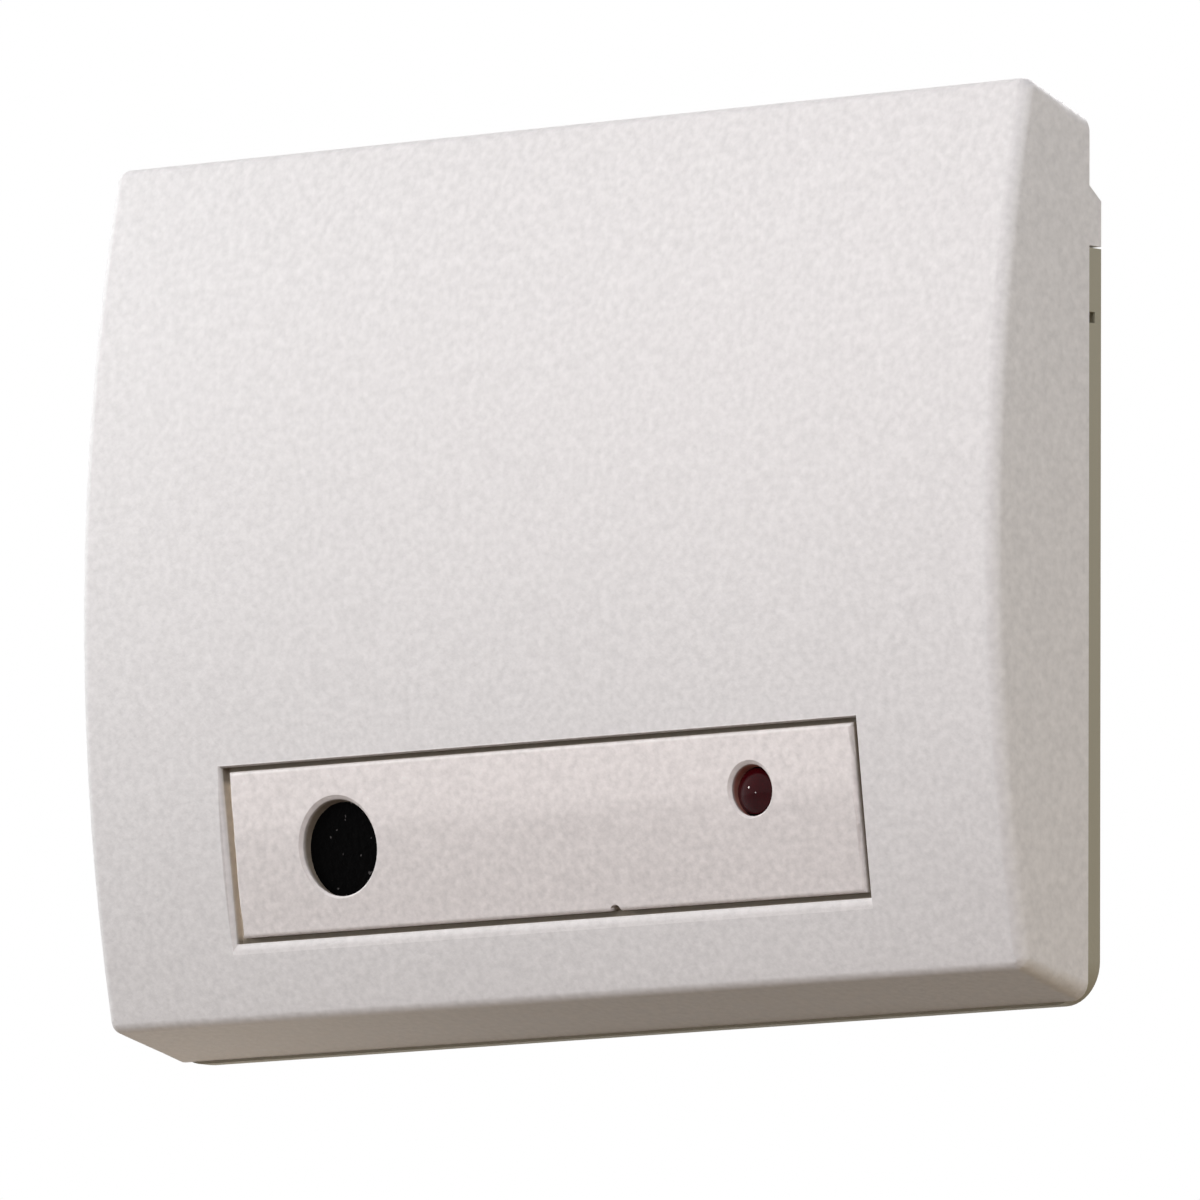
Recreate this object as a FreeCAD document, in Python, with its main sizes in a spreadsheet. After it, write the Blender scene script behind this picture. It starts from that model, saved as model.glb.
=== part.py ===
"""Wall-mounted acoustic glass break sensor.

Frame: +X to the right, +Z up, +Y into the wall. The origin is the middle of the back face, which
lies on the wall, so a depth d in front of the wall is at y = -d.
"""
import FreeCAD, Part
import math
import os
import re

import Sketcher
from FreeCAD import Placement, Rotation, Vector

# Driving dimensions in millimetres, and counts of what repeats.
SIZES = {
    # Cover: front and rear outlines, joined by walls that sink towards the wall of the room
    "cover_width": 108.0,
    "front_height": 79.4,
    "rear_height": 78.9,
    "front_rise": 2.5,
    "edge_depth_top": 10.15,
    "edge_depth_bottom": 10.5,
    "crown_height": 4.5,
    "cover_wall": 1.8,
    "front_wall": 2.2,
    "front_corner_radius": 1.25,
    "rear_corner_radius": 1.7,
    "front_edge_radius": 1.2,
    "fit_gap": 0.3,
    # Lugs of the cover's side walls, which reach back to the wall of the room
    "lug_top_gap": 6.5,
    "lug_height": 5.35,
    "lug_chamfer": 1.3,
    "lug_gap": 0.2,
    # Recess in the cover's face
    "recess_width": 75.3,
    "recess_height": 16.9,
    "recess_rise": 14.63,
    "foot_bevel": 0.7,
    "left_bevel": 0.3,
    "narrow_bevel": 0.2,
    "bevel_depth": 0.5,
    "ledge_lap": 0.75,
    # Front panel
    "panel_thickness": 1.3,
    "panel_edge_radius": 0.4,
    "hole_rim_bevel": 0.3,
    "hole_slope": 0.18,
    "groove_left": 1.25,
    "groove_right": 0.6,
    "groove_top": 0.6,
    "groove_bottom": 1.2,
    "pry_notch_x": 8.0,
    "pry_notch_radius": 0.6,
    # Holes of the panel and the collar that holds the screen
    "mic_inset": 13.75,
    "mic_lift": 0.4,
    "mic_hole_radius": 4.4,
    "led_inset": 12.75,
    "led_lift": 2.65,
    "led_hole_radius": 2.33,
    "collar_wall": 0.7,
    "collar_length": 1.2,
    "screen_radius": 5.1,
    "screen_thickness": 1.0,
    "screen_gap": 0.1,
    # Base plate
    "plate_thickness": 1.65,
    "plate_foot_drop": 0.25,
    "plate_corner_radius": 3.8,
    "rib_thickness": 1.2,
    "rib_height": 2.5,
    "wall_hole_radius": 2.25,
    "wall_hole_inset": 11.0,
    "wall_hole_drop": 12.45,
    "wall_hole_rise": 9.45,
    "cable_width": 20.0,
    "cable_height": 9.0,
    "cable_drop": 13.0,
    "cable_corner_radius": 2.0,
    "cable_lip": 1.2,
    "side_notch_drop": 6.4,
    "side_notch_height": 1.0,
    "side_notch_depth": 0.8,
    # Snap arms at the foot and hooks at the top of the base plate
    "arm_width": 8.0,
    "arm_thickness": 1.2,
    "arm_reach": 5.6,
    "barb_height": 0.7,
    "barb_length": 1.6,
    "catch_length": 1.0,
    "snap_x": 18.0,
    "hook_x": 26.0,
    "hook_lip": 1.2,
    # Circuit board and its posts
    "board_thickness": 1.6,
    "board_height": 50.0,
    "board_side_gap": 4.2,
    "board_foot_gap": 4.7,
    "board_notch_width": 10.5,
    "board_notch_height": 8.0,
    "post_height": 1.5,
    "post_width": 5.0,
    "peg_width": 1.3,
    "peg_hole_radius": 1.0,
    "peg_inset": 5.5,
    "peg_rise": 3.5,
    "peg_tip": 0.5,
    "screw_inset": 4.0,
    "screw_radius": 0.95,
    "screw_length": 4.0,
    "screw_head_radius": 1.9,
    "screw_head_height": 1.3,
    "bore_gap": 0.1,
    # Microphone
    "capsule_radius": 4.85,
    "capsule_height": 4.4,
    "boot_wall": 0.75,
    "boot_lip": 0.4,
    "boot_mouth_radius": 3.2,
    # Indicator lamp
    "lens_radius": 2.05,
    "lamp_flange_radius": 2.4,
    "lamp_flange_height": 1.0,
    "lamp_sink": 0.05,
    "lens_crown": 0.75,
    "lead_size": 0.5,
    "lead_spacing": 2.54,
    "lead_tail": 1.0,
    # Terminal block; it and all that follows stand at places counted from the board's middle
    "pole_count": 8,
    "terminal_pitch": 3.5,
    "block_x": 0.0,
    "block_z": 20.6,
    "block_depth": 6.6,
    "block_height": 6.8,
    "block_step": 1.6,
    "block_end": 0.5,
    "entry_width": 2.5,
    "entry_height": 2.6,
    "entry_depth": 4.2,
    "entry_rise": 0.9,
    "well_width": 2.7,
    "well_z": -0.6,
    "clamp_wall": 0.4,
    "clamp_length": 3.2,
    "clamp_screw_radius": 1.2,
    "clamp_screw_head": 1.2,
    "clamp_screw_side_count": 12,
    # Relay
    "relay_inset": 15.0,
    "relay_z": 16.0,
    "relay_length": 12.0,
    "relay_width": 8.0,
    "relay_height": 5.0,
    "relay_chamfer": 0.3,
    # Chips
    "lead_pitch": 1.27,
    "lead_width": 0.42,
    "lead_thickness": 0.22,
    "lead_foot": 0.7,
    "lead_splay": 0.5,
    "chip_standoff": 0.12,
    "chip_chamfer": 0.25,
    "processor_x": 0.0,
    "processor_z": 4.0,
    "processor_length": 10.3,
    "processor_width": 7.5,
    "processor_height": 2.35,
    "processor_lead_count": 8,
    "amplifier_x": -20.0,
    "amplifier_z": 0.0,
    "amplifier_length": 5.0,
    "amplifier_width": 3.9,
    "amplifier_height": 1.5,
    "amplifier_lead_count": 4,
    # Regulator
    "regulator_inset": 10.0,
    "regulator_z": 0.0,
    "regulator_width": 6.5,
    "regulator_length": 6.1,
    "regulator_height": 2.3,
    "regulator_tab": 1.0,
    "regulator_tab_thickness": 0.5,
    # Crystal
    "crystal_x": 0.0,
    "crystal_z": -7.0,
    "crystal_length": 11.0,
    "crystal_width": 4.6,
    "crystal_height": 3.6,
    "crystal_flange": 0.4,
    "crystal_end_radius": 2.2,
    # Filter capacitors
    "filter_count": 2,
    "filter_x": 17.5,
    "filter_z": 4.0,
    "filter_pitch": 8.0,
    "filter_radius": 3.15,
    "filter_height": 5.4,
    "filter_base": 6.6,
    "filter_base_height": 0.9,
    # Small surface parts
    "resistor_count": 6,
    "resistor_x": -29.0,
    "resistor_z": 9.4,
    "resistor_pitch": 3.2,
    "resistor_length": 3.2,
    "resistor_width": 1.6,
    "resistor_height": 0.6,
    "ceramic_count": 5,
    "ceramic_x": -10.0,
    "ceramic_z": -14.5,
    "ceramic_pitch": 3.4,
    "ceramic_length": 2.0,
    "ceramic_width": 1.25,
    "ceramic_height": 1.0,
    "diode_count": 3,
    "diode_x": 20.0,
    "diode_z": 19.5,
    "diode_pitch": 5.6,
    "diode_length": 4.4,
    "diode_width": 3.6,
    "diode_height": 2.2,
    # Jumper
    "jumper_x": 12.0,
    "jumper_z": -6.0,
    "jumper_pitch": 2.54,
    "jumper_pin_count": 3,
    "pin_size": 0.64,
    "pin_height": 5.6,
    "header_height": 1.8,
    "header_width": 2.4,
    "cap_height": 3.4,
    "cap_wall": 0.85,
    # Tamper switch
    "tamper_inset": 8.0,
    "tamper_rise": 5.0,
    "tamper_size": 6.2,
    "tamper_height": 3.6,
    "tamper_wall": 0.7,
    "tamper_bore_radius": 2.4,
    "plunger_radius": 1.5,
    "plunger_flange_radius": 2.0,
    "plunger_flange_height": 0.7,
    "plunger_reach": 1.4,
    "plunger_air": 0.35,
    "plunger_bevel": 0.3,
    "pusher_width": 4.0,
    "pusher_gap": 0.15,
}

# Sizes worked out from the driving dimensions.
FORM = {
    "front_top": "front_rise + front_height / 2",
    "front_bottom": "front_rise - front_height / 2",
    "rear_edge": "rear_height / 2",
    "top_slope": "(front_top - rear_edge) / (edge_depth_top - plate_thickness)",
    "bottom_slope": "(front_bottom + rear_edge) / (edge_depth_bottom - plate_thickness)",
    "chord": "sqrt(front_height ^ 2 + (edge_depth_bottom - edge_depth_top) ^ 2)",
    "face_radius": "(chord ^ 2 / 4 + crown_height ^ 2) / (2 * crown_height)",
    "axis_depth": "(edge_depth_top + edge_depth_bottom) / 2"
                  " - front_height / chord * (face_radius - crown_height)",
    "axis_z": "front_rise - (edge_depth_bottom - edge_depth_top) / chord * (face_radius - crown_height)",
    "inner_side": "cover_width / 2 - cover_wall",
    "inner_rear": "rear_edge - cover_wall",
    "lug_high": "rear_edge - lug_top_gap",
    "lug_low": "lug_high - lug_height",
    # The recess's own plane, tangent to the face at the recess's middle
    "recess_centre_z": "front_bottom + recess_rise",
    "tilt_sine": "(axis_z - recess_centre_z) / face_radius",
    "tilt_cosine": "sqrt(1 - tilt_sine ^ 2)",
    "recess_face_depth": "axis_depth + face_radius * tilt_cosine",
    "mic_x": "mic_inset - recess_width / 2",
    "mic_z": "recess_centre_z + mic_lift",
    "led_x": "recess_width / 2 - led_inset",
    "led_z": "recess_centre_z + led_lift",
    "hole_run": "(hole_slope + tilt_sine / tilt_cosine) / (1 - hole_slope * tilt_sine / tilt_cosine)",
    "mic_rise": "(mic_z - recess_centre_z) / tilt_cosine",
    "screen_rise": "mic_rise - hole_run * panel_thickness",
    "led_rise": "(led_z - recess_centre_z) / tilt_cosine",
    "panel_left": "groove_left - recess_width / 2",
    "panel_right": "recess_width / 2 - groove_right",
    "panel_low": "groove_bottom - recess_height / 2",
    "panel_high": "recess_height / 2 - groove_top",
    "pry_notch_z": "recess_centre_z + tilt_cosine * panel_low",
    "well_left": "left_bevel - recess_width / 2",
    "well_right": "recess_width / 2 - narrow_bevel",
    "well_low": "foot_bevel - recess_height / 2",
    "well_high": "recess_height / 2 - narrow_bevel",
    # How far the face falls away from the recess's plane at the recess's foot
    "face_fall": "face_radius - sqrt(face_radius ^ 2 - recess_height ^ 2 / 4)",
    # Base plate and board
    "rib_side": "inner_side - fit_gap",
    "rib_high": "inner_rear - fit_gap + min(top_slope * arm_reach; 0)",
    "rib_low": "bottom_slope * rib_height + fit_gap - inner_rear",
    "arm_depth": "plate_thickness + arm_reach",
    "barb_z": "bottom_slope * arm_reach + fit_gap - inner_rear",
    "arm_z": "barb_z + barb_height",
    "barb_depth": "arm_depth - barb_length",
    "wall_hole_x": "cover_width / 2 - wall_hole_inset",
    "wall_hole_high": "rear_edge - wall_hole_drop",
    "wall_hole_low": "wall_hole_rise - rear_edge",
    "cable_z": "rear_edge - cable_drop",
    "side_notch_z": "lug_low - side_notch_drop",
    "board_back": "plate_thickness + post_height",
    "board_front": "board_back + board_thickness",
    "board_side": "inner_side - board_side_gap",
    "board_low": "board_foot_gap - inner_rear",
    "board_high": "board_low + board_height",
    "board_middle": "(board_low + board_high) / 2",
    "screw_x": "board_side - screw_inset",
    "screw_z": "board_high - screw_inset",
    "peg_x": "board_side - board_notch_width - peg_inset",
    "peg_z": "board_low + peg_rise",
    "relay_x": "relay_inset - board_side",
    "regulator_x": "regulator_inset - board_side",
    "tamper_x": "board_side - tamper_inset",
    "tamper_z": "board_middle + tamper_rise",
    # What stands behind the holes of the panel
    "mic_face_depth": "axis_depth + sqrt(face_radius ^ 2 - (mic_z - axis_z) ^ 2)",
    "capsule_z": "mic_z - hole_slope * (mic_face_depth - board_front - capsule_height)",
    "led_face_depth": "axis_depth + sqrt(face_radius ^ 2 - (led_z - axis_z) ^ 2)",
    "lamp_z": "led_z - hole_slope * panel_thickness / 2",
    "lens_curve": "(lens_radius ^ 2 + lens_crown ^ 2) / (2 * lens_crown)",
    "lamp_height": "led_face_depth - lamp_sink - board_front",
    "tamper_tip_depth": "board_front + tamper_height + plunger_reach",
    "pusher_root_depth": "axis_depth + sqrt((face_radius - front_wall / 2) ^ 2 - (tamper_z - axis_z) ^ 2)",
}

# Two places closer than this are the same place.
SAME_PLACE = 0.001

document = FreeCAD.newDocument("GlassBreakSensor")
sheet = document.addObject("Spreadsheet::Sheet", "Sizes")
form = document.addObject("App::VarSet", "Form")
OWNERS = {alias: "Sizes." for alias in SIZES} | {alias: "Form." for alias in FORM}
NODES = []


def full(expression):
    """The expression with each alias led by the object that holds it."""
    return re.sub(r"[a-z][a-z_]*", lambda word: OWNERS.get(word.group(0), "") + word.group(0), expression)


def value(expression):
    return float(sheet.evalExpression(full(expression)))


def bind(thing, **expressions):
    """Tie properties to expressions; a double underscore in a name stands for a dot."""
    for name, expression in expressions.items():
        thing.setExpression(name.replace("__", "."), full(expression))


def write_sizes():
    for row, (alias, number) in enumerate(SIZES.items(), 1):
        sheet.set(f"A{row}", alias.replace("_", " "))
        sheet.set(f"B{row}", str(number))
        sheet.setAlias(f"B{row}", alias)
    for alias in FORM:
        form.addProperty("App::PropertyFloat", alias)
    for alias, expression in FORM.items():
        form.setExpression(alias, full(expression))
    document.recompute()


def new_body(label):
    body = document.addObject("PartDesign::Body", label)
    body.Label = label
    NODES.append(body)
    return body


def on_board(thing, x, z):
    """Stand a component, drawn with its foot at its own origin, on the front of the board."""
    bind(
        thing, Placement__Base__x=x, Placement__Base__y="-board_front",
        Placement__Base__z=f"board_middle + {z}",
    )


def sketch(body, name, plane="XZ_Plane", offset="0"):
    """A sketch on an origin plane; on XZ_Plane the offset is a depth, on YZ_Plane an x."""
    drawing = body.newObject("Sketcher::SketchObject", name)
    support = next(feature for feature in body.Origin.OriginFeatures if feature.Role == plane)
    drawing.AttachmentSupport = [(support, "")]
    drawing.MapMode = "FlatFace"
    bind(drawing, AttachmentOffset__Base__z=offset)
    return drawing


def recess_sketch(body, name, offset="0"):
    """A sketch parallel to the face at the middle of the recess; the offset points out of it."""
    drawing = sketch(body, name, "XZ_Plane", f"recess_face_depth + tilt_cosine * ({offset})")
    drawing.AttachmentOffset = Placement(Vector(0, 0, 0), Rotation(Vector(1, 0, 0), 1))
    bind(
        drawing,
        AttachmentOffset__Base__y=f"recess_centre_z - tilt_sine * ({offset})",
        AttachmentOffset__Rotation__Angle="asin(tilt_sine)",
    )
    return drawing


def arc_between(start, stop, radius, turn):
    """The short arc from start to stop; turn is 1 for anticlockwise and -1 for clockwise."""
    half = (stop - start) / 2
    reach = math.sqrt(max(radius ** 2 - half.Length ** 2, 0))
    centre = start + half + Vector(-half.y, half.x, 0).normalize() * reach * turn
    angles = [math.atan2(point.y - centre.y, point.x - centre.x) for point in (start, stop)]
    return Part.ArcOfCircle(Part.Circle(centre, Vector(0, 0, 1), radius), *angles[::turn])


def draw_loop(drawing, points, arcs=None):
    """Draw a closed loop through points given as expressions.

    arcs maps the number of a side to its (radius, turn); the other sides are straight.
    """
    arcs = arcs or {}
    places = [Vector(value(x), value(y), 0) for x, y in points]
    first = drawing.GeometryCount
    sides, ends, constraints, expressions = [], [], [], []
    for number, start in enumerate(places):
        stop = places[(number + 1) % len(places)]
        radius, turn = arcs.get(number, (None, 1))
        if radius is None:
            sides.append(Part.LineSegment(start, stop))
        else:
            sides.append(arc_between(start, stop, value(radius), turn))
            constraints.append(Sketcher.Constraint("Radius", first + number, value(radius)))
            expressions.append(radius)
        ends.append((1, 2)[::turn])
    for number, (x, y) in enumerate(points):
        side, start = first + number, ends[number][0]
        constraints.append(Sketcher.Constraint("DistanceX", -1, 1, side, start, places[number].x))
        constraints.append(Sketcher.Constraint("DistanceY", -1, 1, side, start, places[number].y))
        expressions += [x, y]
    for number, (_, stop) in enumerate(ends):
        after = (number + 1) % len(places)
        meeting = (first + number, stop, first + after, ends[after][0])
        constraints.append(Sketcher.Constraint("Coincident", *meeting))
    drawing.addGeometry(sides)
    base = drawing.ConstraintCount
    drawing.addConstraint(constraints)
    for number, expression in enumerate(expressions, base):
        drawing.setExpression(f"Constraints[{number}]", full(expression))


def draw_box(drawing, left, right, low, high, radius=None):
    """Draw a rectangle, with rounded corners where a radius is given."""
    if radius is None:
        draw_loop(drawing, [(left, low), (right, low), (right, high), (left, high)])
        return
    inner_left, inner_right = f"({left}) + {radius}", f"({right}) - {radius}"
    inner_low, inner_high = f"({low}) + {radius}", f"({high}) - {radius}"
    points = [
        (inner_left, low), (inner_right, low), (right, inner_low), (right, inner_high),
        (inner_right, high), (inner_left, high), (left, inner_high), (left, inner_low),
    ]
    draw_loop(drawing, points, {side: (radius, 1) for side in (1, 3, 5, 7)})


def draw_square(drawing, x, y, width):
    half = f"{width} / 2"
    draw_box(drawing, f"{x} - {half}", f"{x} + {half}", f"{y} - {half}", f"{y} + {half}")


def draw_circle(drawing, x, y, radius):
    circle = Part.Circle(Vector(value(x), value(y), 0), Vector(0, 0, 1), value(radius))
    number = drawing.addGeometry(circle)
    base = drawing.ConstraintCount
    drawing.addConstraint([
        Sketcher.Constraint("DistanceX", -1, 1, number, 3, value(x)),
        Sketcher.Constraint("DistanceY", -1, 1, number, 3, value(y)),
        Sketcher.Constraint("Radius", number, value(radius)),
    ])
    for place, expression in enumerate((x, y, radius), base):
        drawing.setExpression(f"Constraints[{place}]", full(expression))


def feature(body, kind, name, profile, **settings):
    """Add a feature made from a sketch, and see that it changed the body as it should."""
    before = body.Shape.Volume if body.Tip else 0
    made = body.newObject(f"PartDesign::{kind}", name)
    made.Profile = profile
    for setting, choice in settings.items():
        if setting.endswith("_by"):
            made.setExpression(setting.removesuffix("_by"), full(choice))
        else:
            setattr(made, setting, choice)
    document.recompute()
    grows = kind not in ("Pocket", "Groove", "SubtractiveLoft")
    change = made.Shape.Volume - before
    if change == 0 or (change > 0) != grows:
        raise RuntimeError(f"{body.Label}: {name} changed the volume by {change:.4f}")
    return made


def pad(body, name, profile, length, **settings):
    return feature(body, "Pad", name, profile, Length_by=length, **settings)


def pocket(body, name, profile, length=None, **settings):
    if length is None:
        return feature(body, "Pocket", name, profile, Type="ThroughAll", **settings)
    return feature(body, "Pocket", name, profile, Length_by=length, **settings)


def revolve(body, name, profile):
    """Turn a profile, drawn on YZ_Plane, about the line that points out of the wall."""
    return feature(body, "Revolution", name, profile, ReferenceAxis=(profile, ["H_Axis"]), Angle=360)


def repeat(body, name, original, count, length):
    """Repeat a feature along X, from the original over the given length."""
    pattern = body.newObject("PartDesign::LinearPattern", name)
    pattern.Originals = [original]
    x_axis = next(line for line in body.Origin.OriginFeatures if line.Role == "X_Axis")
    pattern.Direction = (x_axis, [""])
    bind(pattern, Length=length, Occurrences=count)
    body.Tip = pattern
    document.recompute()
    return pattern


def mirror(body, name, originals):
    """Repeat features on the other side of the middle plane."""
    twin = body.newObject("PartDesign::Mirrored", name)
    twin.Originals = originals
    plane = next(flat for flat in body.Origin.OriginFeatures if flat.Role == "YZ_Plane")
    twin.MirrorPlane = (plane, [""])
    body.Tip = twin
    document.recompute()
    return twin


def round_edges(body, name, radius, chosen, kind="Fillet"):
    """Fillet or chamfer the edges of the body's last feature for which chosen is true."""
    tip = body.Tip
    names = [f"Edge{number}" for number, edge in enumerate(tip.Shape.Edges, 1) if chosen(edge)]
    rounding = body.newObject(f"PartDesign::{kind}", name)
    rounding.Base = (tip, names)
    size = "Radius" if kind == "Fillet" else "Size"
    rounding.setExpression(size, full(radius))
    document.recompute()
    return rounding


def middle(edge):
    return edge.valueAt((edge.FirstParameter + edge.LastParameter) / 2)


def bevel_front(body, size):
    """Chamfer the outline of a component's front face."""
    front = body.Shape.BoundBox.YMin
    round_edges(body, "FrontBevel", size, lambda edge: abs(middle(edge).y - front) < SAME_PLACE, "Chamfer")


def on_face_arc(edge):
    """Whether the edge lies on the cover's curved face."""
    axis_depth, axis_z, radius = value("axis_depth"), value("axis_z"), value("face_radius")
    heights = [math.hypot(point.y + axis_depth, point.z - axis_z) - radius for point in edge.discretize(5)]
    return max(map(abs, heights)) < 5 * SAME_PLACE


def face_depth(z, inset):
    """The depth, at a height, of the cover's curved face moved in by an inset."""
    return f"(axis_depth + sqrt((face_radius - ({inset})) ^ 2 - (({z}) - axis_z) ^ 2))"


def trim_face(body):
    """Cut off all that stands in front of the cover's curved face."""
    drawing = sketch(body, "FaceArc", "YZ_Plane")
    outline = [
        ("-edge_depth_top", "front_top"),
        ("-edge_depth_bottom", "front_bottom"),
        ("-edge_depth_bottom", "front_bottom - front_height"),
        ("-edge_depth_bottom - 3 * crown_height", "front_bottom - front_height"),
        ("-edge_depth_bottom - 3 * crown_height", "front_top + front_height"),
        ("-edge_depth_top", "front_top + front_height"),
    ]
    draw_loop(drawing, outline, {0: ("face_radius", 1)})
    return pocket(body, "FaceCut", drawing, SideType="Symmetric")


def hole_direction():
    """The way the panel's holes run: into the wall of the room and down."""
    return Vector(0, 1, -value("hole_slope"))


def make_cover():
    housing = round_corners(extrude_housing())
    body = new_body("front_cover")
    body.BaseFeature = housing
    document.recompute()
    round_edges(body, "FrontEdge", "front_edge_radius", on_face_arc)
    hollow_cover(body)
    cut_recess(body)
    add_lugs(body)
    add_catches(body)
    pusher = sketch(body, "PusherOutline", "XZ_Plane", "tamper_tip_depth + pusher_gap")
    draw_square(pusher, "tamper_x", "tamper_z", "pusher_width")
    pad(body, "TamperPusher", pusher, "pusher_root_depth - tamper_tip_depth - pusher_gap")


def extrude_housing():
    """The solid block of the cover: its side view, drawn with +Y to the right, over its width."""
    profile = document.addObject("Sketcher::SketchObject", "HousingProfile")
    profile.Placement = Placement(Vector(0, 0, 0), Rotation(Vector(1, 1, 1), 120))
    outline = [
        ("-plate_thickness", "-rear_edge"),
        ("-plate_thickness", "rear_edge"),
        ("-edge_depth_top", "front_top"),
        ("-edge_depth_bottom", "front_bottom"),
    ]
    draw_loop(profile, outline, {2: ("face_radius", 1)})
    housing = document.addObject("Part::Extrusion", "HousingBlock")
    housing.Base = profile
    housing.DirMode = "Normal"
    housing.Solid = True
    housing.Symmetric = True
    bind(housing, LengthFwd="cover_width")
    document.recompute()
    return housing


def round_corners(housing):
    """Round the four slanted corners, wider at the rear than at the front."""
    radii = (value("rear_corner_radius"), value("front_corner_radius"))
    corners = []
    for number, edge in enumerate(housing.Shape.Edges, 1):
        start, stop = (edge.valueAt(place) for place in edge.ParameterRange)
        across, up_the_wall = abs(start.x - stop.x) > SAME_PLACE, start.z * stop.z < 0
        if not across and not up_the_wall:
            corners.append((number, *(radii if start.y > stop.y else radii[::-1])))
    rounded = document.addObject("Part::Fillet", "HousingCorners")
    rounded.Base = housing
    rounded.Edges = corners
    document.recompute()
    return rounded


def hollow_cover(body):
    """Open the inside, with the walls parallel to the outside."""
    high = "(inner_rear + top_slope * (edge_depth_top - front_wall - plate_thickness))"
    low = "(bottom_slope * (edge_depth_bottom - front_wall - plate_thickness) - inner_rear)"
    drawing = sketch(body, "InnerProfile", "YZ_Plane")
    outline = [
        ("1", "inner_rear"),
        ("-plate_thickness", "inner_rear"),
        (f"-{face_depth(high, 'front_wall')}", high),
        (f"-{face_depth(low, 'front_wall')}", low),
        ("-plate_thickness", "-inner_rear"),
        ("1", "-inner_rear"),
    ]
    draw_loop(drawing, outline, {2: ("face_radius - front_wall", 1)})
    pocket(body, "Inside", drawing, "2 * inner_side", SideType="Symmetric")


def cut_recess(body):
    """Sink the recess for the panel, bevel its mouth and open the window inside its ledge."""
    floor = recess_sketch(body, "RecessFloor", "-panel_thickness")
    draw_box(floor, "well_left", "well_right", "well_low", "well_high")
    pocket(body, "Recess", floor, "2 * panel_thickness", Reversed=True)
    inner = recess_sketch(body, "BevelFoot", "-bevel_depth")
    draw_box(inner, "well_left", "well_right", "well_low", "well_high")
    mouth = recess_sketch(body, "BevelMouth", "bevel_depth - 2 * face_fall")
    draw_box(
        mouth, "-recess_width / 2 - left_bevel", "recess_width / 2 + narrow_bevel",
        "-recess_height / 2 - foot_bevel", "recess_height / 2 + narrow_bevel",
    )
    feature(body, "SubtractiveLoft", "RecessBevel", inner, Sections=[mouth], Ruled=True)
    window = recess_sketch(body, "WindowOutline", "-panel_thickness")
    draw_box(
        window, "panel_left + ledge_lap", "panel_right - ledge_lap",
        "panel_low + ledge_lap", "panel_high - ledge_lap",
    )
    pocket(body, "Window", window, "2 * front_wall")


def add_lugs(body):
    """Carry a stretch of each side wall back to the wall of the room."""
    drawing = sketch(body, "LugOutline", "YZ_Plane", "cover_width / 2")
    outline = [
        ("-plate_thickness - cover_wall", "lug_low"),
        ("0", "lug_low"),
        ("0", "lug_high - lug_chamfer"),
        ("-plate_thickness", "lug_high"),
        ("-plate_thickness - cover_wall", "lug_high"),
    ]
    draw_loop(drawing, outline)
    lug = pad(body, "Lug", drawing, "cover_wall", Reversed=True)
    mirror(body, "OtherLug", [lug])


def add_catches(body):
    """The ribs inside the foot wall and the top wall that the base plate's arms hold."""
    foot = sketch(body, "CatchOutline", "YZ_Plane", "snap_x")
    high_side, low_side = "-(barb_depth - fit_gap)", "-(barb_depth - fit_gap - catch_length)"
    outline = [
        (low_side, "-inner_rear - cover_wall / 2"),
        (low_side, "arm_z - fit_gap"),
        (high_side, "arm_z - fit_gap"),
        (high_side, "-inner_rear - cover_wall / 2 + bottom_slope * (barb_depth - plate_thickness)"),
    ]
    draw_loop(foot, outline)
    catch = pad(body, "Catch", foot, "arm_width + 2 * fit_gap", SideType="Symmetric")
    top = sketch(body, "TongueOutline", "YZ_Plane", "hook_x")
    outline = [
        (low_side, "rib_high + fit_gap"),
        (low_side, "inner_rear + cover_wall / 2"),
        (high_side, "inner_rear + cover_wall / 2 + top_slope * (barb_depth - plate_thickness)"),
        (high_side, "rib_high + fit_gap"),
    ]
    draw_loop(top, outline)
    tongue = pad(body, "Tongue", top, "arm_width", SideType="Symmetric")
    mirror(body, "OtherCatches", [catch, tongue])


def make_panel():
    body = new_body("front_panel")
    drawing = recess_sketch(body, "PanelOutline", "-panel_thickness")
    draw_box(drawing, "panel_left", "panel_right", "panel_low", "panel_high")
    pad(body, "Plate", drawing, "2 * panel_thickness")
    trim_face(body)
    notch = recess_sketch(body, "PryNotchOutline", "panel_thickness")
    draw_circle(notch, "pry_notch_x", "panel_low", "pry_notch_radius")
    pocket(body, "PryNotch", notch, "3 * panel_thickness")
    ring = recess_sketch(body, "CollarOutline", "-panel_thickness")
    draw_circle(ring, "mic_x", "screen_rise", "screen_radius + screen_gap")
    draw_circle(ring, "mic_x", "screen_rise", "screen_radius + screen_gap + collar_wall")
    pad(body, "Collar", ring, "collar_length", Reversed=True)
    for name, x, rise, radius in (
        ("MicHole", "mic_x", "mic_rise", "mic_hole_radius"),
        ("LedHole", "led_x", "led_rise", "led_hole_radius"),
    ):
        hole = recess_sketch(body, f"{name}Outline")
        draw_circle(hole, x, rise, radius)
        pocket(
            body, name, hole, "4 * panel_thickness", SideType="Symmetric",
            UseCustomVector=True, Direction=hole_direction(),
        )
    rims = [
        ("mic_x", "mic_z", "mic_hole_radius"),
        ("led_x", "led_z", "led_hole_radius"),
        ("pry_notch_x", "pry_notch_z", "pry_notch_radius"),
    ]
    round_edges(
        body, "HoleRims", "hole_rim_bevel",
        lambda edge: on_face_arc(edge) and near_holes(middle(edge), rims[:2]), "Chamfer",
    )
    round_edges(
        body, "PanelEdge", "panel_edge_radius",
        lambda edge: on_face_arc(edge) and not near_holes(middle(edge), rims),
    )


def near_holes(point, holes):
    """Whether a point lies on the rim of one of the holes."""
    return any(
        math.hypot(point.x - value(x), point.z - value(z)) < value(radius) + value("panel_thickness")
        for x, z, radius in holes
    )


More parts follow.
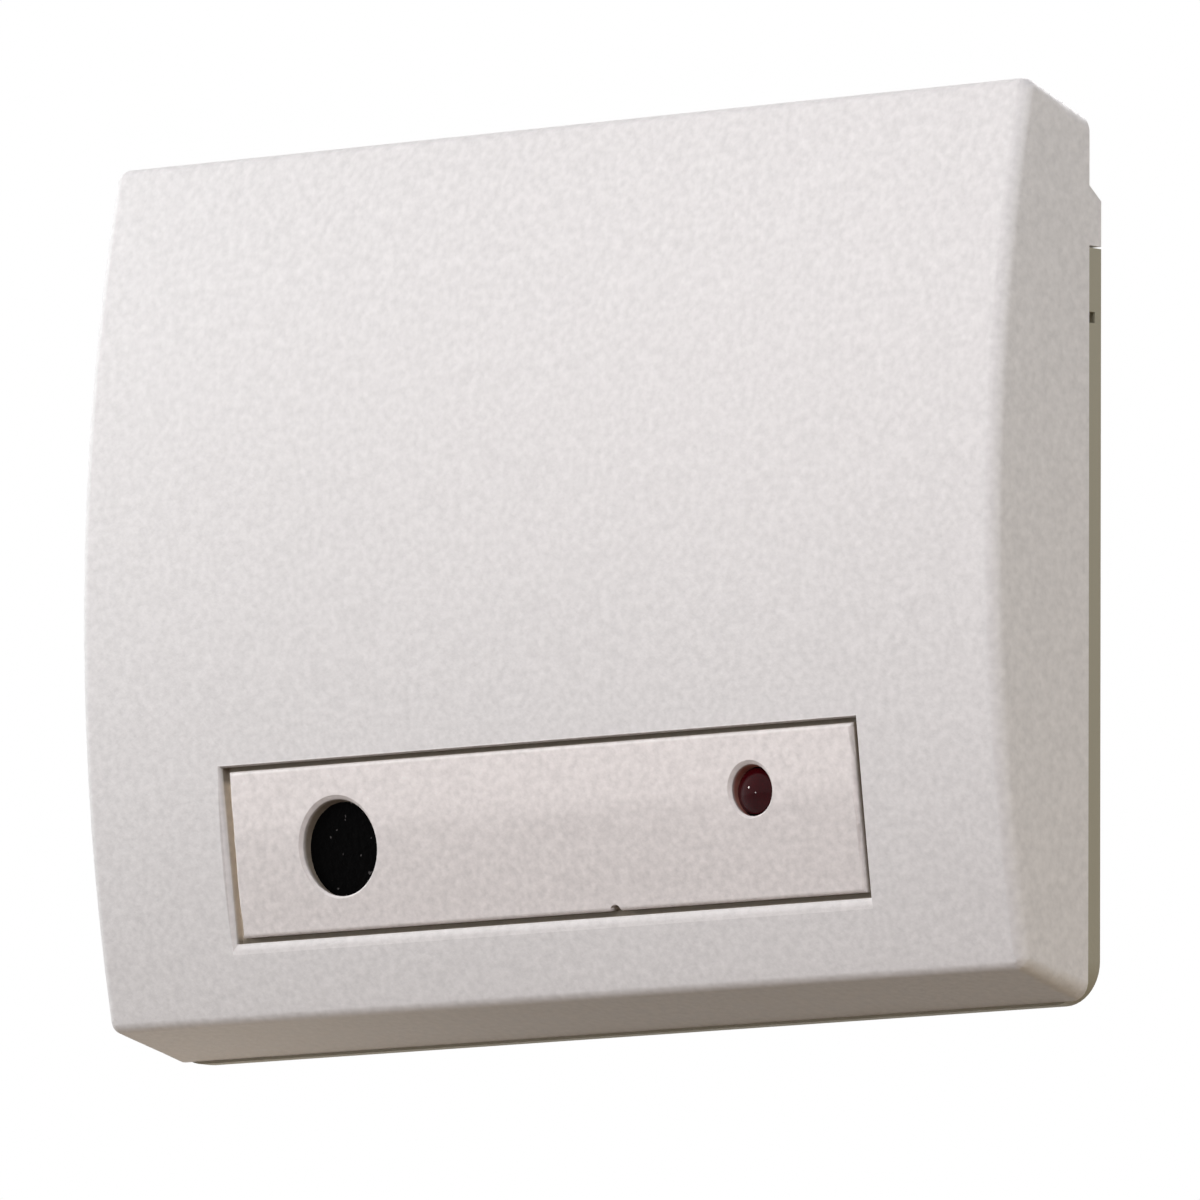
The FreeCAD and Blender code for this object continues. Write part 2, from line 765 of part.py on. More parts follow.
def make_screen():
    body = new_body("microphone_screen")
    drawing = recess_sketch(body, "ScreenOutline", "-panel_thickness")
    draw_circle(drawing, "mic_x", "screen_rise", "screen_radius")
    pad(body, "Screen", drawing, "screen_thickness", Reversed=True)


def make_base():
    body = new_body("base_plate")
    drawing = sketch(body, "PlateOutline")
    side, foot = "cover_width / 2", "(-rear_edge - plate_foot_drop)"
    step, corner = "lug_low - lug_gap", "plate_corner_radius"
    outline = [
        (f"{corner} - {side}", foot),
        (f"{side} - {corner}", foot),
        (side, f"{foot} + {corner}"),
        (side, step),
        ("rib_side", step),
        ("rib_side", "rib_high"),
        ("-rib_side", "rib_high"),
        ("-rib_side", step),
        (f"-{side}", step),
        (f"-{side}", f"{foot} + {corner}"),
    ]
    draw_loop(drawing, outline, {1: (corner, 1), 9: (corner, 1)})
    pad(body, "Plate", drawing, "plate_thickness")
    rib = sketch(body, "RibOutline", "XZ_Plane", "plate_thickness")
    draw_box(rib, "-rib_side", "rib_side", "rib_low", "rib_high")
    draw_box(
        rib, "rib_thickness - rib_side", "rib_side - rib_thickness",
        "rib_low + rib_thickness", "rib_high - rib_thickness",
    )
    pad(body, "Rib", rib, "rib_height")
    add_arms(body)
    add_posts(body)
    cut_plate_openings(body)


def add_arms(body):
    """Snap arms at the foot, and hooks at the top, that hold the cover."""
    foot = sketch(body, "ArmOutline", "YZ_Plane", "snap_x")
    outline = [
        ("-plate_thickness", "arm_z"),
        ("-barb_depth", "arm_z"),
        ("-barb_depth", "barb_z"),
        ("-arm_depth", "arm_z"),
        ("-arm_depth", "arm_z + arm_thickness"),
        ("-plate_thickness", "arm_z + arm_thickness"),
    ]
    draw_loop(foot, outline)
    arm = pad(body, "SnapArm", foot, "arm_width", SideType="Symmetric")
    top = sketch(body, "HookOutline", "YZ_Plane", "hook_x")
    outline = [
        ("-plate_thickness", "rib_high - arm_thickness"),
        ("-arm_depth", "rib_high - arm_thickness"),
        ("-arm_depth", "rib_high + hook_lip"),
        ("-barb_depth", "rib_high + hook_lip"),
        ("-barb_depth", "rib_high"),
        ("-plate_thickness", "rib_high"),
    ]
    draw_loop(top, outline)
    hook = pad(body, "Hook", top, "arm_width", SideType="Symmetric")
    mirror(body, "OtherArms", [arm, hook])


def add_posts(body):
    """Posts that carry the board: two take screws, and two have pegs through the board."""
    posts = sketch(body, "PostOutlines", "XZ_Plane", "plate_thickness")
    pegs = sketch(body, "PegOutlines", "XZ_Plane", "board_back")
    pilots = sketch(body, "PilotOutlines", "XZ_Plane", "board_back")
    for sign in ("-", ""):
        draw_square(posts, f"{sign}screw_x", "screw_z", "post_width")
        draw_square(posts, f"{sign}peg_x", "peg_z", "post_width")
        draw_square(pegs, f"{sign}peg_x", "peg_z", "peg_width")
        draw_circle(pilots, f"{sign}screw_x", "screw_z", "screw_radius + bore_gap")
    pad(body, "Posts", posts, "post_height")
    pad(body, "Pegs", pegs, "board_thickness + peg_tip")
    pocket(body, "Pilots", pilots, "screw_length - board_thickness + bore_gap")


def cut_plate_openings(body):
    """Holes for the wall screws, the cable's way in, and the notches in the plate's sides."""
    lip = sketch(body, "CableLipOutline", "XZ_Plane", "plate_thickness")
    draw_box(
        lip, "-cable_width / 2 - cable_lip", "cable_width / 2 + cable_lip",
        "cable_z - cable_height / 2 - cable_lip", "cable_z + cable_height / 2 + cable_lip",
    )
    pad(body, "CableLip", lip, "cable_lip")
    cable = sketch(body, "CableOutline")
    draw_box(
        cable, "-cable_width / 2", "cable_width / 2",
        "cable_z - cable_height / 2", "cable_z + cable_height / 2", "cable_corner_radius",
    )
    pocket(body, "CableEntry", cable, Reversed=True)
    holes = sketch(body, "WallHoles")
    for sign in ("-", ""):
        for z in ("wall_hole_high", "wall_hole_low"):
            draw_circle(holes, f"{sign}wall_hole_x", z, "wall_hole_radius")
    pocket(body, "WallScrewHoles", holes, Reversed=True)
    notch = sketch(body, "SideNotchOutline", "YZ_Plane", "cover_width / 2")
    draw_box(
        notch, "-plate_thickness", "side_notch_depth - plate_thickness",
        "side_notch_z - side_notch_height / 2", "side_notch_z + side_notch_height / 2",
    )
    cut = pocket(body, "SideNotch", notch, "side_notch_depth")
    mirror(body, "OtherSideNotch", [cut])


def make_board():
    body = new_body("circuit_board")
    drawing = sketch(body, "BoardOutline", "XZ_Plane", "board_back")
    inner, step = "board_side - board_notch_width", "board_low + board_notch_height"
    outline = [
        (f"-({inner})", "board_low"),
        (inner, "board_low"),
        (inner, step),
        ("board_side", step),
        ("board_side", "board_high"),
        ("-board_side", "board_high"),
        ("-board_side", step),
        (f"-({inner})", step),
    ]
    draw_loop(drawing, outline)
    pad(body, "Board", drawing, "board_thickness")
    holes = sketch(body, "BoardHoles", "XZ_Plane", "board_back")
    for sign in ("-", ""):
        draw_circle(holes, f"{sign}screw_x", "screw_z", "screw_radius + 2 * bore_gap")
        draw_circle(holes, f"{sign}peg_x", "peg_z", "peg_hole_radius")
        lead_x = f"led_x {sign or '+'} lead_spacing / 2"
        draw_square(holes, lead_x, "lamp_z", "(lead_size + 2 * bore_gap)")
    pocket(body, "Holes", holes, Reversed=True)


def make_microphone():
    capsule = new_body("microphone_capsule")
    drawing = sketch(capsule, "CapsuleProfile", "YZ_Plane")
    outline = [
        ("0", "0"),
        ("-capsule_height", "0"),
        ("-capsule_height", "capsule_radius"),
        ("0", "capsule_radius"),
    ]
    draw_loop(drawing, outline)
    revolve(capsule, "Capsule", drawing)
    on_board(capsule, "mic_x", "capsule_z - board_middle")
    boot = new_body("microphone_boot")
    drawing = sketch(boot, "BootProfile", "YZ_Plane")
    outline = [
        ("0", "capsule_radius"),
        ("-capsule_height", "capsule_radius"),
        ("-capsule_height", "boot_mouth_radius"),
        ("-capsule_height - boot_lip", "boot_mouth_radius"),
        ("-capsule_height - boot_lip", "capsule_radius + boot_wall"),
        ("0", "capsule_radius + boot_wall"),
    ]
    draw_loop(drawing, outline)
    revolve(boot, "Boot", drawing)
    on_board(boot, "mic_x", "capsule_z - board_middle")


def make_lamp():
    body = new_body("led_lamp")
    drawing = sketch(body, "LampProfile", "YZ_Plane")
    outline = [
        ("-lamp_height", "0"),
        ("0", "0"),
        ("0", "lamp_flange_radius"),
        ("-lamp_flange_height", "lamp_flange_radius"),
        ("-lamp_flange_height", "lens_radius"),
        ("lens_crown - lamp_height", "lens_radius"),
    ]
    draw_loop(drawing, outline, {5: ("lens_curve", 1)})
    revolve(body, "Lens", drawing)
    on_board(body, "led_x", "lamp_z - board_middle")
    leads = []
    for number, sign in enumerate(("-", "")):
        lead = block(
            f"LampLead{number}", f"{sign}lead_spacing / 2", "0", "lead_size", "lead_size",
            "-board_thickness - lead_tail", "board_thickness + lead_tail",
        )
        leads.append(lead)
    on_board(group("led_leads", leads), "led_x", "lamp_z - board_middle")


def block(name, x, z, width, height, start, thickness):
    """A box about (x, z), from a start in front of its origin's plane and that thick."""
    box = document.addObject("Part::Box", name)
    bind(
        box, Length=width, Width=thickness, Height=height,
        Placement__Base__x=f"{x} - ({width}) / 2",
        Placement__Base__y=f"-({start}) - ({thickness})",
        Placement__Base__z=f"{z} - ({height}) / 2",
    )
    return box


def disc(name, x, z, radius, start, thickness):
    """A cylinder about (x, z) that points out of the wall."""
    cylinder = document.addObject("Part::Cylinder", name)
    cylinder.Placement = Placement(Vector(0, 0, 0), Rotation(Vector(1, 0, 0), 90))
    bind(
        cylinder, Radius=radius, Height=thickness,
        Placement__Base__x=x, Placement__Base__y=f"-({start})", Placement__Base__z=z,
    )
    return cylinder


def group(label, pieces):
    """Separate solids that share one node."""
    compound = document.addObject("Part::Compound", label)
    compound.Label = label
    compound.Links = pieces
    NODES.append(compound)
    document.recompute()
    return compound


def fuse(name, pieces):
    union = document.addObject("Part::MultiFuse", name)
    union.Shapes = pieces
    document.recompute()
    return union


def row_place(number, count, pitch):
    """Where a piece of a row stands, counted from the row's middle."""
    return f"({number} - ({count} - 1) / 2) * {pitch}"


def make_terminals():
    body = new_body("terminal_block")
    width = "pole_count * terminal_pitch + 2 * block_end"
    profile = sketch(body, "BlockProfile", "YZ_Plane")
    outline = [
        ("0", "-block_depth / 2"),
        ("0", "block_depth / 2"),
        ("block_step - block_height", "block_depth / 2"),
        ("-block_height", "block_depth / 2 - block_step"),
        ("-block_height", "-block_depth / 2"),
    ]
    draw_loop(profile, outline)
    pad(body, "Block", profile, width, SideType="Symmetric")
    first = "-(pole_count - 1) * terminal_pitch / 2"
    entry = sketch(body, "EntryOutline", "XY_Plane", "block_depth / 2")
    draw_box(
        entry, f"{first} - entry_width / 2", f"{first} + entry_width / 2",
        "-entry_rise - entry_height", "-entry_rise",
    )
    cut = pocket(body, "WireEntry", entry, "entry_depth")
    repeat(body, "WireEntries", cut, "pole_count", "(pole_count - 1) * terminal_pitch")
    well = sketch(body, "WellOutline", "XZ_Plane", "block_height")
    draw_square(well, first, "well_z", "well_width")
    cut = pocket(body, "ScrewWell", well, "block_height - entry_rise - entry_height")
    repeat(body, "ScrewWells", cut, "pole_count", "(pole_count - 1) * terminal_pitch")
    on_board(body, "block_x", "block_z")
    count = int(value("pole_count"))
    clamps, screws = [], []
    inside = "entry_width - 2 * bore_gap"
    clamp_z = "block_depth / 2 - entry_depth + clamp_length / 2 + bore_gap"
    for number in range(count):
        x = row_place(number, "pole_count", "terminal_pitch")
        clamps.append(make_clamp(number, x, clamp_z, inside))
        screws.append(make_clamp_screw(number, x))
    on_board(group("terminal_clamps", clamps), "block_x", "block_z")
    on_board(group("terminal_screws", screws), "block_x", "block_z")


def make_clamp(number, x, z, width):
    """A square cage, open towards the wire."""
    tall = "entry_height - 2 * bore_gap"
    start = "entry_rise + bore_gap"
    cage = block(f"Cage{number}", x, z, width, "clamp_length", start, tall)
    space = block(
        f"CageSpace{number}", x, z, f"{width} - 2 * clamp_wall", "2 * clamp_length",
        f"{start} + clamp_wall", f"{tall} - 2 * clamp_wall",
    )
    clamp = document.addObject("Part::Cut", f"Clamp{number}")
    clamp.Base = cage
    clamp.Tool = space
    return clamp


def make_clamp_screw(number, x):
    """A slotted screw that stands on its clamp."""
    start = "entry_rise + entry_height"
    head = document.addObject("Part::Prism", f"Head{number}")
    head.Placement = Placement(Vector(0, 0, 0), Rotation(Vector(1, 0, 0), 90))
    bind(
        head, Polygon="clamp_screw_side_count", Circumradius="clamp_screw_radius",
        Height="clamp_screw_head", Placement__Base__x=x,
        Placement__Base__y=f"-({start})", Placement__Base__z="well_z",
    )
    slot = block(
        f"Slot{number}", x, "well_z", "3 * clamp_screw_radius", "clamp_wall",
        f"{start} + clamp_screw_head - clamp_wall", "clamp_screw_head",
    )
    screw = document.addObject("Part::Cut", f"ClampScrew{number}")
    screw.Base = head
    screw.Tool = slot
    return screw


def make_relay():
    body = new_body("alarm_relay")
    drawing = sketch(body, "RelayOutline")
    draw_box(drawing, "-relay_length / 2", "relay_length / 2", "-relay_width / 2", "relay_width / 2")
    pad(body, "Case", drawing, "relay_height")
    bevel_front(body, "relay_chamfer")
    on_board(body, "relay_x", "relay_z")


def make_chip(label, part):
    """A moulded chip with bent leads along both long sides."""
    body = new_body(label)
    drawing = sketch(body, "ChipOutline", "XZ_Plane", "chip_standoff")
    draw_box(
        drawing, f"-{part}_length / 2", f"{part}_length / 2",
        f"-{part}_width / 2", f"{part}_width / 2",
    )
    pad(body, "Case", drawing, f"{part}_height - chip_standoff")
    bevel_front(body, "chip_chamfer")
    shoulder = f"{part}_height / 2"
    inner, knee, toe = f"{part}_width / 2", f"({part}_width / 2 + lead_splay)", "lead_foot"
    half = [
        (f"-{shoulder} - lead_thickness", f"{knee} + lead_thickness"),
        ("-lead_thickness", f"{knee} + lead_thickness"),
        ("-lead_thickness", f"{knee} + {toe}"),
        ("0", f"{knee} + {toe}"),
        ("0", knee),
        (f"-{shoulder}", knee),
    ]
    other = [(depth, f"-({z})") for depth, z in reversed(half)]
    leads = sketch(body, "LeadProfile", "YZ_Plane", f"-({part}_lead_count - 1) * lead_pitch / 2")
    draw_loop(leads, half + other)
    lead = pad(body, "Lead", leads, "lead_width", SideType="Symmetric")
    repeat(body, "Leads", lead, f"{part}_lead_count", f"({part}_lead_count - 1) * lead_pitch")
    on_board(body, f"{part}_x", f"{part}_z")


def make_regulator():
    body = new_body("voltage_regulator")
    tab = sketch(body, "TabOutline")
    draw_box(
        tab, "-regulator_width / 2 + regulator_tab / 2", "regulator_width / 2 - regulator_tab / 2",
        "0", "regulator_length / 2 + regulator_tab",
    )
    pad(body, "Tab", tab, "regulator_tab_thickness")
    case = sketch(body, "CaseOutline")
    draw_box(
        case, "-regulator_width / 2", "regulator_width / 2",
        "-regulator_length / 2", "regulator_length / 2",
    )
    pad(body, "Case", case, "regulator_height")
    bevel_front(body, "chip_chamfer")
    for number, sign in enumerate(("-", "")):
        leg = sketch(body, f"LegOutline{number}")
        middle_x = f"{sign}(regulator_width / 2 - regulator_tab)"
        draw_box(
            leg, f"{middle_x} - lead_width", f"{middle_x} + lead_width",
            "-regulator_length / 2 - 2 * lead_foot", "-regulator_length / 2 + lead_foot",
        )
        pad(body, f"Leg{number}", leg, "2 * lead_thickness")
    on_board(body, "regulator_x", "regulator_z")


def make_crystal():
    body = new_body("crystal")
    foot = sketch(body, "FootOutline")
    long_half, wide_half = "(crystal_length / 2 + crystal_flange)", "(crystal_width / 2 + crystal_flange)"
    draw_box(foot, f"-{long_half}", long_half, f"-{wide_half}", wide_half)
    pad(body, "Foot", foot, "crystal_flange")
    can = sketch(body, "CanOutline")
    draw_box(
        can, "-crystal_length / 2", "crystal_length / 2",
        "-crystal_width / 2", "crystal_width / 2", "crystal_end_radius",
    )
    pad(body, "Can", can, "crystal_height")
    on_board(body, "crystal_x", "crystal_z")


def make_filter_capacitors():
    cans = []
    for number in range(int(value("filter_count"))):
        x = row_place(number, "filter_count", "filter_pitch")
        foot = block(
            f"FilterFoot{number}", x, "0", "filter_base", "filter_base", "0", "filter_base_height",
        )
        can = disc(f"FilterCan{number}", x, "0", "filter_radius", "0", "filter_height")
        cans.append(fuse(f"Filter{number}", [foot, can]))
    on_board(group("filter_capacitors", cans), "filter_x + filter_pitch / 2", "filter_z")


def make_row(label, part):
    """A row of small surface parts, all alike, along X."""
    pieces = []
    for number in range(int(value(f"{part}_count"))):
        x = row_place(number, f"{part}_count", f"{part}_pitch")
        piece = block(
            f"{part}{number}", x, "0", f"{part}_width", f"{part}_length", "0", f"{part}_height",
        )
        pieces.append(piece)
    on_board(group(label, pieces), f"{part}_x + ({part}_count - 1) / 2 * {part}_pitch", f"{part}_z")


def make_jumper():
    count = int(value("jumper_pin_count"))
    places = [row_place(number, "jumper_pin_count", "jumper_pitch") for number in range(count)]
    pins = [
        block(f"JumperPin{number}", x, "0", "pin_size", "pin_size", "0", "pin_height")
        for number, x in enumerate(places)
    ]
    holes = [
        block(f"HeaderHole{number}", x, "0", "pin_size", "pin_size", "-pin_size", "2 * pin_height")
        for number, x in enumerate(places)
    ]
    width = "jumper_pin_count * jumper_pitch"
    strip = block("HeaderStrip", "0", "0", width, "header_width", "0", "header_height")
    header = document.addObject("Part::Cut", "jumper_header")
    header.Label = "jumper_header"
    header.Base = strip
    header.Tool = fuse("HeaderHoles", holes)
    NODES.append(header)
    on_board(header, "jumper_x", "jumper_z")
    on_board(group("jumper_pins", pins), "jumper_x", "jumper_z")
    body = new_body("jumper_cap")
    drawing = sketch(body, "CapOutline", "XZ_Plane", "header_height")
    outside = "(pin_size / 2 + cap_wall)"
    draw_box(drawing, f"-{outside}", f"jumper_pitch + {outside}", f"-{outside}", outside)
    for x in ("0", "jumper_pitch"):
        draw_box(
            drawing, f"{x} - pin_size / 2 - bore_gap", f"{x} + pin_size / 2 + bore_gap",
            "-pin_size / 2 - bore_gap", "pin_size / 2 + bore_gap",
        )
    pad(body, "Cap", drawing, "cap_height")
    on_board(body, "jumper_x", "jumper_z")


def make_tamper_switch():
    switch = new_body("tamper_switch")
    drawing = sketch(switch, "SwitchOutline")
    draw_square(drawing, "0", "0", "tamper_size")
    pad(switch, "Case", drawing, "tamper_height")
    chamber = sketch(switch, "ChamberProfile", "YZ_Plane")
    outline = [
        ("-tamper_wall", "0"),
        ("-tamper_wall", "tamper_bore_radius"),
        ("tamper_wall - tamper_height", "tamper_bore_radius"),
        ("tamper_wall - tamper_height", "plunger_radius + fit_gap"),
        ("-tamper_height - tamper_wall", "plunger_radius + fit_gap"),
        ("-tamper_height - tamper_wall", "0"),
    ]
    draw_loop(chamber, outline)
    feature(switch, "Groove", "Chamber", chamber, ReferenceAxis=(chamber, ["H_Axis"]), Angle=360)
    on_board(switch, "tamper_x", "tamper_rise")
    plunger = new_body("tamper_plunger")
    drawing = sketch(plunger, "PlungerProfile", "YZ_Plane")
    flange_front = "tamper_height - tamper_wall - plunger_air"
    outline = [
        (f"plunger_flange_height - ({flange_front})", "0"),
        (f"plunger_flange_height - ({flange_front})", "plunger_flange_radius"),
        (f"-({flange_front})", "plunger_flange_radius"),
        (f"-({flange_front})", "plunger_radius"),
        ("plunger_bevel - tamper_height - plunger_reach", "plunger_radius"),
        ("-tamper_height - plunger_reach", "plunger_radius - plunger_bevel"),
        ("-tamper_height - plunger_reach", "0"),
    ]
    draw_loop(drawing, outline)
    revolve(plunger, "Plunger", drawing)
    on_board(plunger, "tamper_x", "tamper_rise")


def make_board_screws():
    screws = []
    for number, sign in enumerate(("-", "")):
        x = f"{sign}screw_x"
        shank = disc(f"Shank{number}", x, "0", "screw_radius", "-screw_length", "screw_length")
        head = disc(f"ScrewHead{number}", x, "0", "screw_head_radius", "0", "screw_head_height")
        screws.append(fuse(f"BoardScrew{number}", [shank, head]))
    on_board(group("board_screws", screws), "0", "screw_z - board_middle")


def check_and_write():
    document.recompute()
    for thing in document.Objects:
        if {"Invalid", "Error"} & set(thing.State):
            raise RuntimeError(f"{thing.Label} is {thing.State}")
    for node in NODES:
        if node.Shape.isNull() or not node.Shape.isValid() or not node.Shape.Solids:
            raise RuntimeError(f"{node.Label} has no valid solid")
    os.makedirs("parts", exist_ok=True)
    for node in NODES:
        node.Shape.exportStep(f"parts/{node.Label}.step")
        print(f"{node.Label}: {len(node.Shape.Solids)} solids, {node.Shape.Volume:.1f} mm3")


write_sizes()
make_cover()
make_panel()
make_screen()
make_base()
make_board()
make_microphone()
make_lamp()
make_terminals()
make_relay()
make_chip("processor_chip", "processor")
make_chip("amplifier_chip", "amplifier")
make_regulator()
make_crystal()
make_filter_capacitors()
make_row("resistors", "resistor")
make_row("ceramic_capacitors", "ceramic")
make_row("surge_diodes", "diode")
make_jumper()
make_tamper_switch()
make_board_screws()
check_and_write()
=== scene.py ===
"""Looks of the glass break sensor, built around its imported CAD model. Metres, front towards -Y."""
import math
import random

import bmesh
import bpy
from mathutils import Matrix, Vector


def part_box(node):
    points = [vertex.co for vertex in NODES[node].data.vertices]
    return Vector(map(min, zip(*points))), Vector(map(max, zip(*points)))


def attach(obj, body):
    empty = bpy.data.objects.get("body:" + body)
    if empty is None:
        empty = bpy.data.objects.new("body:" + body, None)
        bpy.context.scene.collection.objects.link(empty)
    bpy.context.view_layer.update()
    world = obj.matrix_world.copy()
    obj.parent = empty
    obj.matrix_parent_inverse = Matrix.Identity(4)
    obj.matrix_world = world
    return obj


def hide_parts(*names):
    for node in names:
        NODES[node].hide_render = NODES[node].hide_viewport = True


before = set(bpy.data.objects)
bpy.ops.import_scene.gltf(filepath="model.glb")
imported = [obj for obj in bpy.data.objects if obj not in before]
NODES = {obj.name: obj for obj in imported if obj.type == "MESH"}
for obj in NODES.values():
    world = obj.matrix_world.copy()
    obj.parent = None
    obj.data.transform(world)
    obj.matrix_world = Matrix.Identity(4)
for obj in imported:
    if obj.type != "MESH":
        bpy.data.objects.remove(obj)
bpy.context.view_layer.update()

MM = 0.001


def add(tree, kind, place, **settings):
    """A new node of that kind, with its settings."""
    node = tree.nodes.new(kind)
    node.location = place
    for name, value in settings.items():
        setattr(node, name, value)
    return node


def group_tree(name, inputs, outputs):
    """An empty shader group with those sockets, its input node and its output node."""
    tree = bpy.data.node_groups.new(name, "ShaderNodeTree")
    for label, kind, value in inputs:
        socket = tree.interface.new_socket(name=label, in_out="INPUT", socket_type=kind)
        if value is not None:
            socket.default_value = value
    for label, kind in outputs:
        tree.interface.new_socket(name=label, in_out="OUTPUT", socket_type=kind)
    return tree, add(tree, "NodeGroupInput", (-900, 0)), add(tree, "NodeGroupOutput", (700, 0))


FLOAT, COLOUR = "NodeSocketFloat", "NodeSocketColor"


def mix_colour(tree, place, factor, a, b, blend="MIX"):
    """A colour mix whose sockets take a link or a value, and its result."""
    node = add(tree, "ShaderNodeMix", place, data_type="RGBA", blend_type=blend)
    for index, value in ((0, factor), (6, a), (7, b)):
        socket = node.inputs[index]
        if isinstance(value, bpy.types.NodeSocket):
            tree.links.new(value, socket)
        else:
            socket.default_value = value
    return node.outputs[2]


def maths(tree, place, operation, a, b=None, clamp=False):
    """A Math node whose sockets take a link or a value, and its result."""
    node = add(tree, "ShaderNodeMath", place, operation=operation, use_clamp=clamp)
    for index, value in enumerate((a, b)):
        if value is None:
            continue
        if isinstance(value, bpy.types.NodeSocket):
            tree.links.new(value, node.inputs[index])
        else:
            node.inputs[index].default_value = value
    return node.outputs[0]


def noise_of(tree, place, vector, scale, detail=2.0, roughness=0.5):
    """The value of a Noise texture of that scale, in lumps per metre."""
    node = add(tree, "ShaderNodeTexNoise", place)
    tree.links.new(vector, node.inputs["Vector"])
    node.inputs["Scale"].default_value = scale
    node.inputs["Detail"].default_value = detail
    node.inputs["Roughness"].default_value = roughness
    return node.outputs["Fac"]


FINE_GRAIN, FINE_SHARE = 2.6, 0.45
DRIFT_PER_METRE, GRAIN_GLOSS = 45.0, 0.25


def moulded_grain():
    """Fine spark-eroded grain of a moulded plastic, with its slow drift of tone."""
    tree, given, result = group_tree(
        "MouldedGrain",
        [("Colour", COLOUR, (0.8, 0.8, 0.8, 1)), ("Fleck", FLOAT, 0.04), ("Drift", FLOAT, 0.02),
         ("Roughness", FLOAT, 0.55), ("Grain per metre", FLOAT, 3000.0)],
        [("Colour", COLOUR), ("Roughness", FLOAT), ("Height", FLOAT)])
    where = add(tree, "ShaderNodeTexCoord", (-1100, -200)).outputs["Object"]
    links = tree.links
    coarse = add(tree, "ShaderNodeTexNoise", (-700, 200))
    fine = add(tree, "ShaderNodeTexNoise", (-700, -100))
    for node, factor, detail in ((coarse, 1.0, 2.0), (fine, FINE_GRAIN, 1.0)):
        links.new(where, node.inputs["Vector"])
        links.new(maths(tree, (-900, -300), "MULTIPLY", given.outputs["Grain per metre"], factor),
                  node.inputs["Scale"])
        node.inputs["Detail"].default_value = detail
    broad = noise_of(tree, (-700, -400), where, DRIFT_PER_METRE, 2.0)
    height = maths(tree, (-300, 0), "ADD", coarse.outputs["Fac"],
                   maths(tree, (-500, -100), "MULTIPLY", fine.outputs["Fac"], FINE_SHARE))
    fleck = maths(tree, (-300, 200), "SUBTRACT", coarse.outputs["Fac"], 0.5)
    drift = maths(tree, (-300, -300), "SUBTRACT", broad, 0.5)
    tone = maths(tree, (100, 200), "ADD", 1.0, maths(
        tree, (-50, 200), "ADD",
        maths(tree, (-150, 250), "MULTIPLY", fleck, given.outputs["Fleck"]),
        maths(tree, (-150, 50), "MULTIPLY", drift, given.outputs["Drift"])))
    scaled = add(tree, "ShaderNodeVectorMath", (300, 200), operation="SCALE")
    links.new(given.outputs["Colour"], scaled.inputs[0])
    links.new(tone, scaled.inputs["Scale"])
    links.new(scaled.outputs[0], result.inputs["Colour"])
    rough = maths(tree, (300, 0), "ADD", given.outputs["Roughness"],
                  maths(tree, (100, 0), "MULTIPLY", fleck, GRAIN_GLOSS), clamp=True)
    links.new(rough, result.inputs["Roughness"])
    links.new(height, result.inputs["Height"])
    return tree


PATCHES_PER_METRE, PATCH_FROM, PATCH_GAIN, PATCH_GLOSS = 420.0, 0.45, 2.2, 0.5
LINE_STRETCH = 0.06


def metal_wear():
    """Rolled or plated metal: dull patches, faint rubbed lines and a changing gloss."""
    tree, given, result = group_tree(
        "MetalWear",
        [("Colour", COLOUR, (0.7, 0.7, 0.7, 1)), ("Dull colour", COLOUR, (0.5, 0.5, 0.48, 1)),
         ("Roughness", FLOAT, 0.35), ("Lines per metre", FLOAT, 1800.0)],
        [("Colour", COLOUR), ("Roughness", FLOAT), ("Height", FLOAT)])
    links = tree.links
    where = add(tree, "ShaderNodeTexCoord", (-1100, -200)).outputs["Object"]
    stretch = add(tree, "ShaderNodeMapping", (-900, -200))
    stretch.inputs["Scale"].default_value = (1.0, 1.0, LINE_STRETCH)
    links.new(where, stretch.inputs["Vector"])
    lines = add(tree, "ShaderNodeTexNoise", (-600, -100))
    links.new(stretch.outputs[0], lines.inputs["Vector"])
    links.new(given.outputs["Lines per metre"], lines.inputs["Scale"])
    patches = noise_of(tree, (-600, 200), where, PATCHES_PER_METRE, 3.0)
    dull = maths(tree, (-300, 200), "MULTIPLY",
                 maths(tree, (-450, 200), "SUBTRACT", patches, PATCH_FROM, clamp=True),
                 PATCH_GAIN, clamp=True)
    links.new(mix_colour(tree, (0, 200), dull, given.outputs["Colour"], given.outputs["Dull colour"]),
              result.inputs["Colour"])
    rough = maths(tree, (0, 0), "ADD", given.outputs["Roughness"], maths(
        tree, (-200, 0), "MULTIPLY", maths(tree, (-300, 0), "SUBTRACT", patches, 0.5),
        PATCH_GLOSS), clamp=True)
    links.new(rough, result.inputs["Roughness"])
    links.new(lines.outputs["Fac"], result.inputs["Height"])
    return tree


# The panel's outer plane, y = PANEL_FACE - PANEL_TILT * z, and the recess round it
outer_face = max((f for f in NODES["front_panel"].data.polygons if f.normal.y < -0.9),
                 key=lambda f: f.area)
PANEL_TILT = outer_face.normal.z / outer_face.normal.y
PANEL_FACE = outer_face.center.y + PANEL_TILT * outer_face.center.z
RECESS_Z = -22.61 * MM
RECESS_HALF_WIDTH = 37.7 * MM
RECESS_HALF_HEIGHT = 8.55 * MM

# Depths behind that plane between which the painted shade fades in, and the painted edge highlight fades
# in and out again
SHADE_DEPTHS = (0.35 * MM, 0.85 * MM)
HIGHLIGHT_STARTS, HIGHLIGHT_ENDS = (0.02 * MM, 0.10 * MM), (0.30 * MM, 0.45 * MM)

# The groove left of the panel is wide, so its middle gets less painted shade and keeps more of the
# plastic's colour
GROOVE_FADE_X = (-36.45 * MM, -37.05 * MM)
GROOVE_FADE_Z = (7.9 * MM, 6.6 * MM)
GROOVE_KEPT = 0.85
